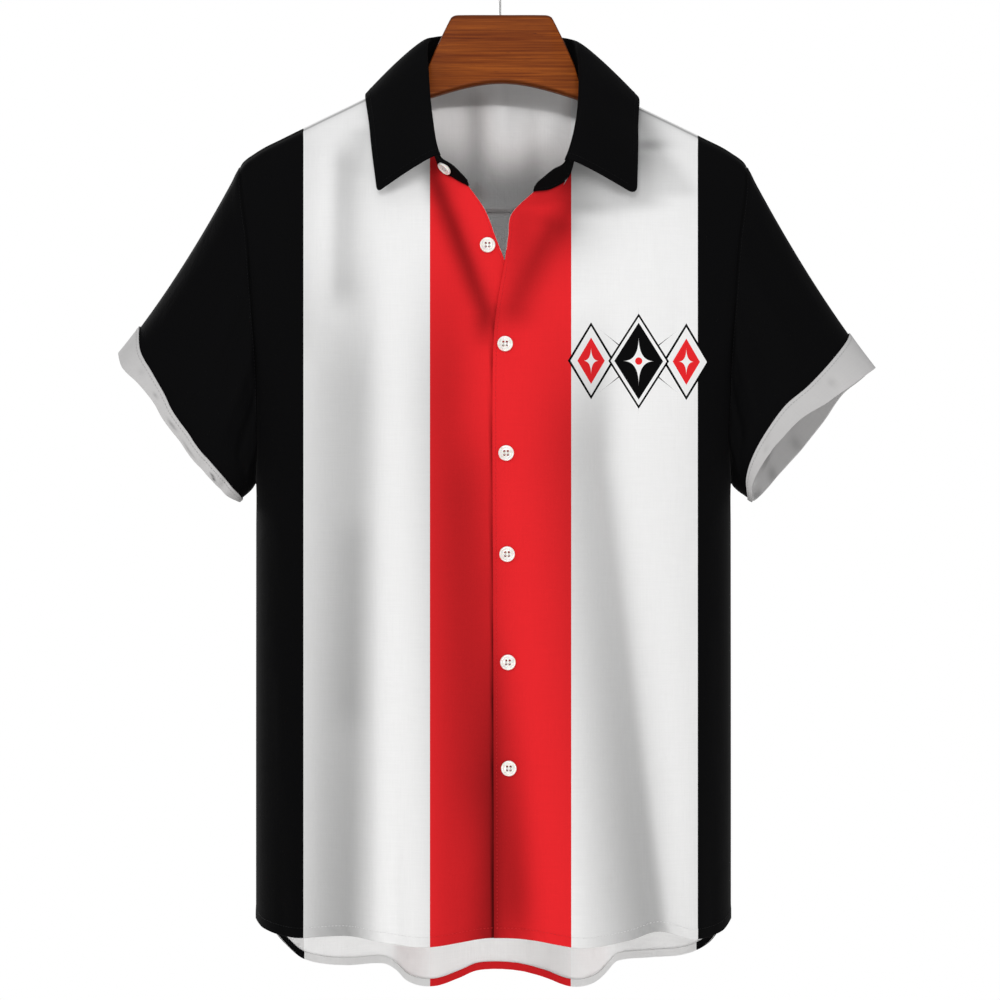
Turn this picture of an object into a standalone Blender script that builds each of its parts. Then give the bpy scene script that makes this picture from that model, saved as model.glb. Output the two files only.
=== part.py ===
# A short-sleeved bowling shirt that hangs on a wooden hanger.
# The origin is the inside top of the hanger's hook. +Z is up and the front of the shirt faces -Y.
# Sizes and tables are in millimetres; they become metres where mesh points are made.
import math
from collections import namedtuple

import bmesh
import bpy
from mathutils import Vector

MM = 0.001

# Cloth
WALL = 1.5                # body, sleeves and cuffs
COLLAR_WALL = 1.8         # stand and leaf, two layers pressed together
BAND_WALL = 1.0           # turned-up hem band
SEAM_GAP = 0.3            # between two pieces that are sewn together
LAP_GAP = 0.6             # between the two fronts where they lap
LAP_REACH = 62.0          # the over front comes forward from here towards the middle, along X,
LAP_EASE = 38.0           # over this width,
LAP_TOP_Z = -252.0        # and from here down,
LAP_TOP_EASE = 26.0       # over this height

# Body
BODY_MID = -5.5           # the body hangs a little to the left of the hook
BODY_HALF = 199.4         # half width below the armpits
SECTION_POWER = 2.2       # 2 is an ellipse; more is squarer
RIDGE = 9.0               # radius of the cloth over the hanger's arms
EASE_DROP = 150.0         # drop below the ridge at which the cloth has its full depth
SHOULDER_SEAM = -5.0      # wrap of the seam between front and yoke
NECK_SIDE = 70.5          # where that seam meets the neckline
YOKE_SEAM_Z = -231.0
ARMPIT_Z = -466.0
SIDE_HEM_Z = -828.0
HEM_BAND = 7.5            # height of the turned-up band inside the back

# Grid counts: what meets at a seam has the same points there
NECK_FRONT = 6            # columns along each front's neckline
NECK_BACK = 10
SHOULDER = 11             # columns along each shoulder seam
ARM_FRONT = 9             # rows down the front of an armhole
ARM_BACK = 6              # rows down its back, below the yoke
PULL_COLUMNS = 5          # columns over which the swing of a front's free edge dies out
YOKE_ROWS = 7
SIDE_ROWS = 12            # rows down each side seam, the hem band's row included
STAND_ROWS = 3
LEAF_ROWS = 8

# Height of the shoulder ridge by distance from the body's middle
Ridge = namedtuple("Ridge", "reach z")
RIDGE_LINE = [
    Ridge(-45, -108), Ridge(0, -99), Ridge(45, -108), Ridge(68, -121), Ridge(106, -141.5),
    Ridge(147.5, -161.8), Ridge(178.5, -177), Ridge(196, -186), Ridge(212, -198.3),
    Ridge(226, -215), Ridge(236, -235),
]

# Half width that the section curves towards, and how far front and back stand off the hanger
Level = namedtuple("Level", "z half front back")
BODY_LEVELS = [
    Level(-90, 285, 42, 66), Level(-143, 278, 50, 70), Level(-205, 262, 60, 74),
    Level(-276, 247, 73, 77), Level(-348, 227.5, 82, 80), Level(-395, 213.4, 86, 82),
    Level(-437, 203.0, 88, 84), Level(ARMPIT_Z, 199.6, 88, 84), Level(-500, BODY_HALF, 90, 86),
    Level(-705, BODY_HALF, 92, 90), Level(-900, BODY_HALF, 95, 92),
]

# Distance of the armhole seam from the body's middle
Armhole = namedtuple("Armhole", "z reach")
ARMHOLE = [
    Armhole(-190, 212.5), Armhole(-223, 210), Armhole(-264, 204), Armhole(-314, 200),
    Armhole(-356, 197), Armhole(-397, 195.7), Armhole(-437, 196.6), Armhole(ARMPIT_Z, 199.6),
]

# Free front edges, from the end of the neckline to the hem
Edge = namedtuple("Edge", "z x")
UNDER_EDGE = [
    Edge(-221.5, -26.2), Edge(-242, -12.3), Edge(-265.4, -3.3), Edge(-282, 3.0), Edge(-300, 9),
    Edge(-330, 14), Edge(-370, 16.5), Edge(-420, 17), Edge(-600, 17), Edge(-900, 17),
]
OVER_EDGE = [
    Edge(-226.5, 27.9), Edge(-245, 9.6), Edge(-263.3, 6.8), Edge(-282.2, 4.4), Edge(-316.6, -1.6),
    Edge(-345.2, -4.9), Edge(-400, -6), Edge(-600, -5.3), Edge(-900, -4.6),
]

# Hem lines
Hem = namedtuple("Hem", "x z")
FRONT_HEM = [
    Hem(-205, SIDE_HEM_Z), Hem(-196, -834.5), Hem(-170, -838.5), Hem(-122, -835.5), Hem(-62, -841),
    Hem(-8, -835), Hem(28, -836), Hem(68, -842), Hem(106, -838.5), Hem(132, -832), Hem(160, -839.5),
    Hem(184, -836.5), Hem(194, SIDE_HEM_Z),
]
BACK_HEM = [
    Hem(-205, SIDE_HEM_Z), Hem(-198, -838), Hem(-184, -858), Hem(-168, -873), Hem(-134, -879.5),
    Hem(-102, -880.5), Hem(-88, -887), Hem(-78, -895), Hem(-58, -898), Hem(-36, -893), Hem(-20, -888),
    Hem(12, -888), Hem(40, -892.5), Hem(62, -898), Hem(80, -895.5), Hem(92, -887), Hem(102, -878),
    Hem(130, -872.5), Hem(160, -868), Hem(178, -857), Hem(188, -841), Hem(194, SIDE_HEM_Z),
]

# Folds: a soft ridge (rise above 0) or trough (below 0) along a line from its top to its low end
FOLD_FADE = 0.125         # share of its length over which a fold fades out past its end
Fold = namedtuple("Fold", "name top_x top_z low_x low_z left_width right_width top_rise low_rise")
FRONT_FOLDS = [
    Fold("left panel trough", -119, -345, -127, -860, 38, 15, -3, -9),
    Fold("left hem ridge", -68, -560, -64, -860, 26, 26, 0, 7),
    Fold("left placket trough", -34, -430, -20, -860, 30, 14, -2, -4),
    Fold("placket valley", -9, -560, -5, -860, 16, 22, -1, -6),
    Fold("right placket trough", 6, -590, 18, -860, 20, 11, -1, -4),
    Fold("right hem ridge", 58, -620, 62, -860, 22, 22, 0, 7),
    Fold("right panel trough", 67, -438, 126, -860, 34, 13, -4, -9),
    Fold("left side ridge", -170, -560, -166, -860, 16, 16, 0, 4),
    Fold("right side ridge", 160, -560, 157, -860, 20, 20, 0, 5),
    Fold("left shoulder crease", -128, -215, -127, -325, 9, 7, -2.5, -1.5),
    Fold("left lapel fold", -45, -247, -14, -336, 10, 9, -3, -0.5),
    Fold("right lapel fold", 48, -244, 16, -336, 18, 10, -3, -0.5),
]
BACK_FOLDS = [
    Fold("left back fold", -64, -330, -60, -900, 26, 26, -1, -22),
    Fold("right back fold", 66, -360, 63, -900, 26, 26, -1, -22),
    Fold("middle back swell", 0, -420, 0, -900, 30, 30, 0, 4),
    Fold("left back side fold", -128, -480, -140, -900, 24, 24, 0, -9),
    Fold("right back side fold", 126, -450, 136, -900, 24, 24, 0, -8),
]

# Collar. neck: where the stand is sewn on, by x and wrap round the shoulder ridge; roll: top of
# the stand; edge: the leaf's outer edge, by x and wrap, and how far the leaf stands off the body.
Station = namedtuple("Station", "column neck_x neck_wrap roll_x roll_y roll_z edge_x edge_wrap edge_off")
COLLAR = [
    Station(0, -26.2, -46.6, -26.5, -65.5, -218.4, -99.7, -40.3, 8),
    Station(1, -37.5, -44.8, -39.0, -72.5, -207.0, -99.7, -40.3, 8),
    Station(2, -51.5, -41.4, -46.7, -73, -201.5, -99.7, -40.3, 8),
    Station(4, -65.0, -27.5, -54.8, -52, -164.0, -106.5, -26.3, 5),
    Station(6, -NECK_SIDE, SHOULDER_SEAM, -63.0, -8, -104.5, -110.5, -3, 4),
    Station(8, -60.5, 12.5, -54.5, 20, -90.5, -92, 19.5, 3.5),
    Station(11, 0.0, 20.0, 0.0, 32, -88.0, 0, 28, 3.5),
    Station(14, 60.5, 12.5, 57.0, 20, -92.0, 93, 19.5, 3.5),
    Station(16, NECK_SIDE, SHOULDER_SEAM, 66.8, -8, -108.0, 112, -2, 8),
    Station(18, 66.5, -26.5, 65.0, -50, -160.5, 113.5, -22.5, 5),
    Station(20, 58.5, -40.6, 54.6, -72, -202.5, 111.2, -37.7, 8),
    Station(21, 44.0, -45.2, 43.0, -72, -210.5, 111.2, -37.7, 8),
    Station(22, 27.9, -46.9, 28.3, -67.5, -222.4, 111.2, -37.7, 8),
]
LEAF_FROM = 2             # columns of the collar between which the leaf is sewn to the stand
LEAF_TO = 20
ROLL_RISE = 14.0          # how far the leaf is drawn on past the stand before it falls over
LEAF_CROWN = 10.0         # how far its fall is drawn out from the straight line to its edge,
LEAF_CREST = 0.55         # at this share of the way back from that edge

# Sleeves: the two ends of the cuff's long axis, its half depth, how much the cloth hangs, swells
# and tucks in, where the turned-up cuff begins, and how much later it begins in front.
Sleeve = namedtuple("Sleeve", "name side top_x top_z low_x low_z half_depth hang swell tuck cuff_from cuff_slim")
SLEEVES = [
    Sleeve("left", -1, -319.0, -356.5, -219.5, -480.0, 37, 17, 10, 8, 0.83, 0.07),
    Sleeve("right", 1, 314.0, -369.0, 210.0, -478.0, 37, 17, 10, 8, 0.80, 0.0),
]
# How far the cuff's rim stands out along the sleeve, by its place from the top end (1) to the low one (-1)
Rim = namedtuple("Rim", "place front back")
CUFF_RIMS = {
    "left": [
        Rim(1, 0, 0), Rim(0.83, 4, -2), Rim(0.6, 1.5, -5), Rim(0.39, 1, -7), Rim(0.15, 3.5, -8),
        Rim(-0.12, 4.5, -8), Rim(-0.39, 5.5, -8), Rim(-0.65, 4.5, -7), Rim(-0.88, 3.5, -4), Rim(-1, 0, 0),
    ],
    "right": [
        Rim(1, 0, 0), Rim(0.83, -3, -0.5), Rim(0.6, -6.5, -2.5), Rim(0.29, -11.5, 1.5), Rim(0, -17.5, 3.5),
        Rim(-0.35, -17.5, 5), Rim(-0.68, -14, 6), Rim(-0.9, -7, 5.5), Rim(-1, 3, 3),
    ],
}
PIT_LIFT = 15.0           # the sleeve hangs this much less at the armpit
SLEEVE_ROWS = 7           # rows from the armhole to where the cuff begins
CUFF_ROWS = 2
CUFF_POWER = 2.3          # squareness of the cuff's ring
BACK_TUCK = 1.9           # how much the sleeve is let out behind the armpit, as a share of tuck

# Buttons
BUTTON_RADIUS = 6.3
BUTTON_THICK = 2.6
BUTTON_RIM = 1.5          # width of the raised rim
BUTTON_DISH = 0.8         # depth of the dish inside it
BUTTON_EDGE = 0.8         # chamfer round its edge
BUTTON_HOLE = 0.95        # radius of the four thread holes
BUTTON_HOLE_OUT = 1.45    # each hole's distance from the middle along X and along Y
BUTTON_SIDES = 16
BUTTON_OFF = 0.6          # a button's back stands this far off the cloth at its middle
Button = namedtuple("Button", "name x z front")
BUTTONS = [
    Button("button_open", -10.2, -271.5, "under"),
    Button("button_1", 4.1, -352.7, "over"),
    Button("button_2", 4.9, -441.3, "over"),
    Button("button_3", 5.7, -523.2, "over"),
    Button("button_4", 6.5, -610.9, "over"),
    Button("button_5", 7.3, -696.9, "over"),
]
STAND_BUTTON_COLUMN = 1   # the stand's button lies outside the grid cell that starts here
STAND_BUTTON_ROW = 1

# Hanger
WOOD_HALF = 7.0           # half thickness
WOOD_ROUND = 3.5          # radius of its long edges,
WOOD_ROUND_THICK = 0.8    # at most this share of the half thickness
WOOD_ROUND_HIGH = 0.4     # and this share of the height
WOOD_UNDER_RIDGE = 3.6    # the arm's top below the cloth's outer ridge
ARM_REACH = 197.0         # from the body's middle
ARM_STATIONS = 9
TIP_LENGTH = 4.0          # the arm's end tapers over this length,
TIP_TAPER = 2.5           # by this much on each face
HUB_MID = 1.3             # the hub's middle, along X
HUB_SECTIONS = [0, 18, 34, 38, 41, 43, 48, 54, 61, 64, 67]  # closest where its top bends
Rail = namedtuple("Rail", "x top")
HUB_TOP = [
    Rail(0, -72.6), Rail(36, -72.7), Rail(40, -73.4), Rail(43, -76), Rail(61, -114), Rail(64, -124),
    Rail(67, -131), Rail(75, -134),
]
Under = namedtuple("Under", "x z")
WOOD_UNDERSIDE = [
    Under(-60, -142), Under(0, -129.5), Under(60, -142), Under(100, -161), Under(150, -184.5),
    Under(ARM_REACH, -204),
]
WIRE_RADIUS = 1.0
HOOK_BEND = 20.0          # inner radius of the hook
HOOK_TURN = 17            # points round the bend,
HOOK_HALF_TURN = 15       # of which this many make half a turn
SWING_POINTS = 8          # points between the stem and the bend
STEM_FOOT_Z = -72.3       # just off the hub's top
STEM_TOP_Z = -52.0


def soft_step(t):
    t = min(1.0, max(0.0, t))
    return t * t * (3 - 2 * t)


def row_at(rows, key):
    # A smooth curve through a table's rows, read by its first column; held flat past both ends.
    keys = [row[0] for row in rows]
    falling = keys[0] > keys[-1]
    if falling:
        keys = [-k for k in keys]
        key = -key
    if key <= keys[0]:
        return rows[0]
    if key >= keys[-1]:
        return rows[-1]
    i = max(n for n, k in enumerate(keys) if k <= key)
    span = keys[i + 1] - keys[i]
    t = (key - keys[i]) / span

    def slope(n, field):
        before, after = max(0, n - 1), min(len(rows) - 1, n + 1)
        return (rows[after][field] - rows[before][field]) / (keys[after] - keys[before])

    values = [row_key(rows, i, t)]
    for field in range(1, len(rows[0])):
        a, b = rows[i][field], rows[i + 1][field]
        m, n = slope(i, field) * span, slope(i + 1, field) * span
        values.append(
            a * (2 * t**3 - 3 * t**2 + 1) + m * (t**3 - 2 * t**2 + t)
            + b * (3 * t**2 - 2 * t**3) + n * (t**3 - t**2)
        )
    return type(rows[0])(*values)


def row_key(rows, i, t):
    return rows[i][0] + (rows[i + 1][0] - rows[i][0]) * t


def ridge_z(x):
    return row_at(RIDGE_LINE, abs(x - BODY_MID)).z


def depth(x, z, side):
    # How far the plain cloth stands off the hanger's plane; side is -1 for the front, 1 for the back.
    level = row_at(BODY_LEVELS, z)
    drop = max(0.0, ridge_z(x) - z)
    stand_off = level.front if side < 0 else level.back
    across = min(1.0, abs(x - BODY_MID) / level.half)
    full = stand_off * (1 - across**SECTION_POWER) ** (1 / SECTION_POWER)
    over_arm = RIDGE * math.sqrt(1 - (1 - min(1.0, drop / RIDGE)) ** 2)
    ease = 1 - (1 - min(1.0, drop / EASE_DROP)) ** 3
    return over_arm * (1 - ease) + full * ease


def fold_rise(folds, x, z):
    # Each fold fades out just past its two ends, and all of them at the side seams.
    rise = 0.0
    for fold in folds:
        t = (fold.top_z - z) / (fold.top_z - fold.low_z)
        held = soft_step(1 + t / FOLD_FADE) * soft_step(1 + (1 - t) / FOLD_FADE)
        t = min(1.0, max(0.0, t))
        middle = fold.top_x + (fold.low_x - fold.top_x) * t
        along = fold.top_rise + (fold.low_rise - fold.top_rise) * soft_step(t)
        width = fold.left_width if x < middle else fold.right_width
        rise += along * held * math.exp(-(((x - middle) / width) ** 2))
    return rise * (1 - min(1.0, abs(x - BODY_MID) / BODY_HALF) ** 8)


def lap(x, z):
    # How far the over front lies in front of the under one where they lap.
    across, down = (LAP_REACH - x) / LAP_EASE, (LAP_TOP_Z - z) / LAP_TOP_EASE
    return (WALL + LAP_GAP) * soft_step(across) * soft_step(down)


def front_point(x, z, over=False):
    off = depth(x, z, -1) + fold_rise(FRONT_FOLDS, x, z) + (lap(x, z) if over else 0)
    return Vector((x, -off, z))


def back_point(x, z):
    return Vector((x, depth(x, z, 1) + fold_rise(BACK_FOLDS, x, z), z))


def wrap_point(x, wrap):
    # wrap runs round the shoulder ridge, below 0 on the front and above 0 on the back
    z = ridge_z(x) - wrap**2 / (2 * RIDGE)
    side = -1 if wrap < 0 else 1
    return Vector((x, side * depth(x, z, side), z))


def wrap_normal(x, wrap):
    along = wrap_point(x + 1, wrap) - wrap_point(x - 1, wrap)
    around = wrap_point(x, wrap + 1) - wrap_point(x, wrap - 1)
    normal = around.cross(along).normalized()
    return normal if normal.z > 0 else -normal


def neck_point(column):
    station = row_at(COLLAR, column)
    return wrap_point(station.neck_x, station.neck_wrap)


def shoulder_point(side, part):
    # Along the shoulder seam, from the neck (0) to the armhole (1)
    neck = NECK_SIDE * side
    tip = BODY_MID + side * ARMHOLE[0].reach
    return wrap_point(neck + (tip - neck) * part, SHOULDER_SEAM)


def spread(count, start, middle, end):
    # Shares from 0 to 1 whose steps grow or shrink as the three weights say
    steps = []
    for i in range(count):
        t = (i + 0.5) / count
        steps.append(start + (middle - start) * 2 * t if t < 0.5 else middle + (end - middle) * (2 * t - 1))
    shares = [0.0]
    for step in steps:
        shares.append(shares[-1] + step / sum(steps))
    return shares


def eased_patch(top, low, first, last, shares, rows_held, place, pull=None):
    # A grid of (x, z) places between two side edges, with its top and low edges eased in.
    # pull moves each row's first edge along X, and dies out over the next few columns.
    count, height = len(top) - 1, len(first) - 1
    grid = []
    for k in range(height + 1):
        t = k / height
        row = []
        for j in range(count + 1):
            across = j / count
            x = first[k][0] + (last[k][0] - first[k][0]) * shares[j]
            z = first[k][1] + (last[k][1] - first[k][1]) * across
            for row_at_end, edge, weight in ((0, top, (1 - t) ** 3), (-1, low, t**rows_held)):
                start, stop = first[row_at_end], last[row_at_end]
                x += weight * (edge[j][0] - start[0] - (stop[0] - start[0]) * shares[j])
                z += weight * (edge[j][1] - start[1] - (stop[1] - start[1]) * across)
            if pull:
                x += pull[k] * max(0.0, 1 - j / PULL_COLUMNS) ** 2
            row.append(place(x, z))
        grid.append(row)
    return grid


def side_heights(count, top, low):
    # Heights down a side seam, the last one a hem band above the hem
    plain = [top + (low + HEM_BAND - top) * i / (count - 1) for i in range(1, count)]
    return plain + [low]


def front_grid(side):
    over = side > 0
    edge_rows = OVER_EDGE if over else UNDER_EDGE
    first_column, step = (2 * NECK_FRONT + NECK_BACK, -1) if over else (0, 1)
    neck = [neck_point(first_column + step * i) for i in range(NECK_FRONT + 1)]
    shoulder = [shoulder_point(side, i / SHOULDER) for i in range(1, SHOULDER + 1)]
    top = neck + shoulder
    arm_top = top[-1].z
    arm = [arm_top + (ARMPIT_Z - arm_top) * i / ARM_FRONT for i in range(ARM_FRONT + 1)]
    heights = arm + side_heights(SIDE_ROWS, ARMPIT_Z, SIDE_HEM_Z)
    last = [(BODY_MID + side * row_at(ARMHOLE, z).reach, z) for z in arm]
    last[0] = (top[-1].x, top[-1].z)
    last += [(BODY_MID + side * row_at(BODY_LEVELS, z).half, z) for z in heights[ARM_FRONT + 1:]]
    edge_x = row_at(edge_rows, edge_rows[-1].z).x
    edge_low = row_at(FRONT_HEM, edge_x).z
    edge_top = top[0].z
    inner = [edge_top + (ARMPIT_Z - edge_top) * i / ARM_FRONT for i in range(ARM_FRONT + 1)]
    inner += side_heights(SIDE_ROWS, ARMPIT_Z, edge_low)
    # the free edge swings in fast below the neckline, the columns beside it follow slowly
    drift = [soft_step(k / (len(inner) - 1)) for k in range(len(inner))]
    first = [(top[0].x + (edge_x - top[0].x) * d, z) for d, z in zip(drift, inner)]
    pull = [row_at(edge_rows, z).x - x for x, z in first]
    pull[0] = 0.0
    count = NECK_FRONT + SHOULDER
    shares = spread(count, 1.35, 1.0, 0.3)
    low = [(edge_x + (last[-1][0] - edge_x) * share, 0) for share in shares]
    low = [(x, row_at(FRONT_HEM, x).z) for x, _ in low]
    grid = eased_patch([(p.x, p.z) for p in top], low, first, last, shares, 3,
                       lambda x, z: front_point(x, z, over), pull)
    grid[0] = top
    for k in range(ARM_FRONT, len(grid)):
        grid[k][-1] = side_seam_point(side, heights[k])
    return grid


def side_seam_point(side, z):
    return Vector((BODY_MID + side * row_at(BODY_LEVELS, z).half, 0, z))


def back_shares():
    half = spread(SHOULDER + NECK_BACK // 2, 1.0, 1.1, 0.3)
    return [-share for share in half[:0:-1]] + half


def yoke_grid():
    top = [shoulder_point(-1, 1 - i / SHOULDER) for i in range(SHOULDER)]
    top += [neck_point(NECK_FRONT + i) for i in range(NECK_BACK + 1)]
    top += [shoulder_point(1, i / SHOULDER) for i in range(1, SHOULDER + 1)]
    collar_rows = [row_at(COLLAR, NECK_FRONT + i).neck_wrap for i in range(NECK_BACK + 1)]
    wraps = [SHOULDER_SEAM] * SHOULDER + collar_rows + [SHOULDER_SEAM] * SHOULDER
    reach = row_at(ARMHOLE, YOKE_SEAM_Z).reach
    low_x = [BODY_MID + share * reach for share in back_shares()]
    low_wrap = [math.sqrt(2 * RIDGE * (ridge_z(x) - YOKE_SEAM_Z)) for x in low_x]
    grid = []
    for k in range(YOKE_ROWS + 1):
        t = k / YOKE_ROWS
        grid.append([
            wrap_point(p.x + (x - p.x) * t, a + (b - a) * t)
            for p, x, a, b in zip(top, low_x, wraps, low_wrap)
        ])
    return grid


def back_grid(yoke_seam):
    arm = [YOKE_SEAM_Z + (ARMPIT_Z - YOKE_SEAM_Z) * i / ARM_BACK for i in range(ARM_BACK + 1)]
    heights = arm + side_heights(SIDE_ROWS, ARMPIT_Z, SIDE_HEM_Z)
    edges = []
    for side in (-1, 1):
        edge = [(BODY_MID + side * row_at(ARMHOLE, z).reach, z) for z in arm]
        edge += [(BODY_MID + side * row_at(BODY_LEVELS, z).half, z) for z in heights[ARM_BACK + 1:]]
        edges.append(edge)
    shares = [(share + 1) / 2 for share in back_shares()]
    low_x = [edges[0][-1][0] + (edges[1][-1][0] - edges[0][-1][0]) * share for share in shares]
    hem = [row_at(BACK_HEM, x).z for x in low_x]
    low = [(x, z + HEM_BAND) for x, z in zip(low_x, hem)]
    top = [(p.x, p.z) for p in yoke_seam]
    grid = eased_patch(top, low, edges[0][:-1], edges[1][:-1], shares, 4, back_point)
    grid.append([back_point(x, z) for x, z in zip(low_x, hem)])
    grid[0] = yoke_seam
    for k in range(ARM_BACK, len(grid)):
        grid[k][0] = side_seam_point(-1, heights[k])
        grid[k][-1] = side_seam_point(1, heights[k])
    return grid


def sleeve_grid(sleeve, armhole):
    # Rows from the armhole to the cuff's fold; each point travels along its own drooping curve.
    ridge = max(range(len(armhole)), key=lambda n: armhole[n].z)
    pit = min(range(len(armhole)), key=lambda n: armhole[n].z)
    count = len(armhole)
    lengths = [0.0]
    for a, b in zip(armhole, armhole[1:] + armhole[:1]):
        lengths.append(lengths[-1] + (b - a).length)
    total = lengths[-1]

    def turn(n):
        # 0 at the top of the ring, half a turn at the armpit; the front half is the first one
        from_top = (lengths[n] - lengths[ridge]) % total
        to_pit = (lengths[pit] - lengths[ridge]) % total
        if from_top <= to_pit:
            return math.pi * from_top / to_pit
        return math.pi * (1 + (from_top - to_pit) / (total - to_pit))

    top = Vector((sleeve.top_x, 0, sleeve.top_z))
    low = Vector((sleeve.low_x, 0, sleeve.low_z))
    middle, half = (top + low) / 2, (top - low) / 2
    axis = Vector((sleeve.side * half.z, 0, -sleeve.side * half.x)).normalized()
    rims = CUFF_RIMS[sleeve.name]
    grid = []
    for k in range(SLEEVE_ROWS + CUFF_ROWS + 1):
        row = []
        for n in range(count):
            start = armhole[n]
            angle = turn(n)
            c, s = math.cos(angle), math.sin(angle)
            flat_c = math.copysign(abs(c) ** (2 / CUFF_POWER), c)
            flat_s = math.copysign(abs(s) ** (2 / CUFF_POWER), s)
            rim = row_at(rims, flat_c)
            end = middle + half * flat_c + Vector((0, -sleeve.half_depth * flat_s, 0))
            end += axis * (rim.front if s > 0 else rim.back)
            low_down = ((1 - c) / 2) ** 2
            bend = (start + end) / 2 + Vector((0, -sleeve.swell * s, PIT_LIFT * low_down - sleeve.hang))
            # tucked in at the front of the armpit, let out at its back
            bend.x -= sleeve.side * sleeve.tuck * low_down * (s if s > 0 else BACK_TUCK * s)
            fold = sleeve.cuff_from + sleeve.cuff_slim * max(0.0, s) ** 2
            into_cuff = max(0, k - SLEEVE_ROWS) / CUFF_ROWS
            share = fold * min(1, k / SLEEVE_ROWS) + (1 - fold) * into_cuff
            row.append(start * (1 - share) ** 2 + bend * 2 * share * (1 - share) + end * share**2)
        grid.append(row)
    return grid


def stand_point(column, rise):
    neck = neck_point(column)
    station = row_at(COLLAR, column)
    return neck + (Vector((station.roll_x, station.roll_y, station.roll_z)) - neck) * rise


def stand_grid():
    columns = range(2 * NECK_FRONT + NECK_BACK + 1)
    return [[stand_point(column, k / STAND_ROWS) for column in columns] for k in range(STAND_ROWS + 1)]


def leaf_grid(stand, inward):
    # From the stand's inner top edge up, over and down to the leaf's outer edge
    roll, below = stand[-1], stand[-2]
    grid = []
    for share in spread(LEAF_ROWS, 0.5, 1.0, 1.2):
        row = []
        for column in range(LEAF_FROM, LEAF_TO + 1):
            station = row_at(COLLAR, column)
            rise = (roll[column] - below[column]).normalized()
            start = roll[column] + inward[column] * COLLAR_WALL + rise * SEAM_GAP
            end = wrap_point(station.edge_x, station.edge_wrap)
            end += wrap_normal(station.edge_x, station.edge_wrap) * station.edge_off
            lift = (roll[column + 1] - roll[column - 1]).cross(end - start).normalized()
            over = end + (start - end) * LEAF_CREST + lift * LEAF_CROWN
            points = (start, start + rise * ROLL_RISE, over, end)
            weights = ((1 - share) ** 3, 3 * share * (1 - share) ** 2, 3 * share**2 * (1 - share), share**3)
            point = Vector()
            for p, w in zip(points, weights):
                point += p * w
            row.append(point)
        grid.append(row)
    return grid


def grid_normals(grid, sign, ring):
    rows, columns = len(grid), len(grid[0])
    normals = []
    for k in range(rows):
        row = []
        for j in range(columns):
            if ring:
                before, after = grid[k][j - 1], grid[k][(j + 1) % columns]
            else:
                before, after = grid[k][max(0, j - 1)], grid[k][min(columns - 1, j + 1)]
            above, below = grid[max(0, k - 1)][j], grid[min(rows - 1, k + 1)][j]
            row.append((after - before).cross(below - above).normalized() * sign)
        normals.append(row)
    return normals


def point_key(point):
    return tuple(round(value, 2) for value in point)


def shared_normals(pieces):
    # Where two pieces are sewn together they share one direction, so their cut edges lie parallel.
    total = {}
    for piece in pieces:
        for points, normals in zip(piece["grid"], piece["normals"]):
            for point, normal in zip(points, normals):
                key = point_key(point)
                total[key] = total.get(key, Vector()) + normal
    for piece in pieces:
        piece["normals"] = [
            [total[point_key(point)].normalized() for point in points] for points in piece["grid"]
        ]


def pulled_grid(piece):
    # Each sewn edge is drawn back by half a seam gap, in the cloth's own surface.
    grid = [[point.copy() for point in row] for row in piece["grid"]]
    source = piece["grid"]
    half = SEAM_GAP / 2
    rows, columns = len(grid), len(grid[0])
    for k in range(rows):
        for j in range(columns):
            moves = []
            if k == 0 and "top" in piece["sewn"]:
                moves.append(source[1][j] - source[0][j])
            if k == rows - 1 and "low" in piece["sewn"]:
                moves.append(source[-2][j] - source[-1][j])
            if j == 0 and "first" in piece["sewn"]:
                moves.append(source[k][1] - source[k][0])
            if j == columns - 1 and "last" in piece["sewn"]:
                moves.append(source[k][-2] - source[k][-1])
            for move in moves:
                grid[k][j] += move.normalized() * half
    return grid


def add_material(name, colour, roughness, metallic=0.0):
    material = bpy.data.materials.new(name)
    material.use_nodes = True
    shader = material.node_tree.nodes["Principled BSDF"]
    shader.inputs["Base Color"].default_value = (*colour, 1)
    shader.inputs["Roughness"].default_value = roughness
    shader.inputs["Metallic"].default_value = metallic
    return material


def add_object(name, mesh, material):
    obj = bpy.data.objects.new(name, mesh)
    bpy.context.scene.collection.objects.link(obj)
    mesh.materials.append(material)
    return obj


def add_solid(name, points, faces, material):
    mesh = bpy.data.meshes.new(name)
    mesh.from_pydata([tuple(p * MM) for p in points], [], faces)
    solid = bmesh.new()
    solid.from_mesh(mesh)
    bmesh.ops.recalc_face_normals(solid, faces=solid.faces)
    bmesh.ops.triangulate(solid, faces=solid.faces)
    solid.to_mesh(mesh)
    solid.free()
    return add_object(name, mesh, material)


def add_wall(piece, material):
    # A closed wall between two offsets of a grid along its normals
    grid, normals = pulled_grid(piece), piece["normals"]
    rows, columns = len(grid), len(grid[0])
    points = []
    for offset in (piece["inner"], piece["outer"]):
        for row, row_normals in zip(grid, normals):
            points += [p + n * offset for p, n in zip(row, row_normals)]
    layer = rows * columns
    faces = []
    wide = columns if piece["ring"] else columns - 1
    for k in range(rows - 1):
        for j in range(wide):
            a, b = k * columns + j, k * columns + (j + 1) % columns
            c, d = a + columns, b + columns
            faces.append((a, b, d, c))
            faces.append((layer + a, layer + c, layer + d, layer + b))
    for k, turned in ((0, False), (rows - 1, True)):
        for j in range(wide):
            a, b = k * columns + j, k * columns + (j + 1) % columns
            faces.append((a, layer + a, layer + b, b) if turned else (a, b, layer + b, layer + a))
    if not piece["ring"]:
        for j in (0, columns - 1):
            for k in range(rows - 1):
                a = k * columns + j
                b = a + columns
                faces.append((a, layer + a, layer + b, b) if j == 0 else (a, b, layer + b, layer + a))
    return add_solid(piece["name"], points, faces, material)


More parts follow.
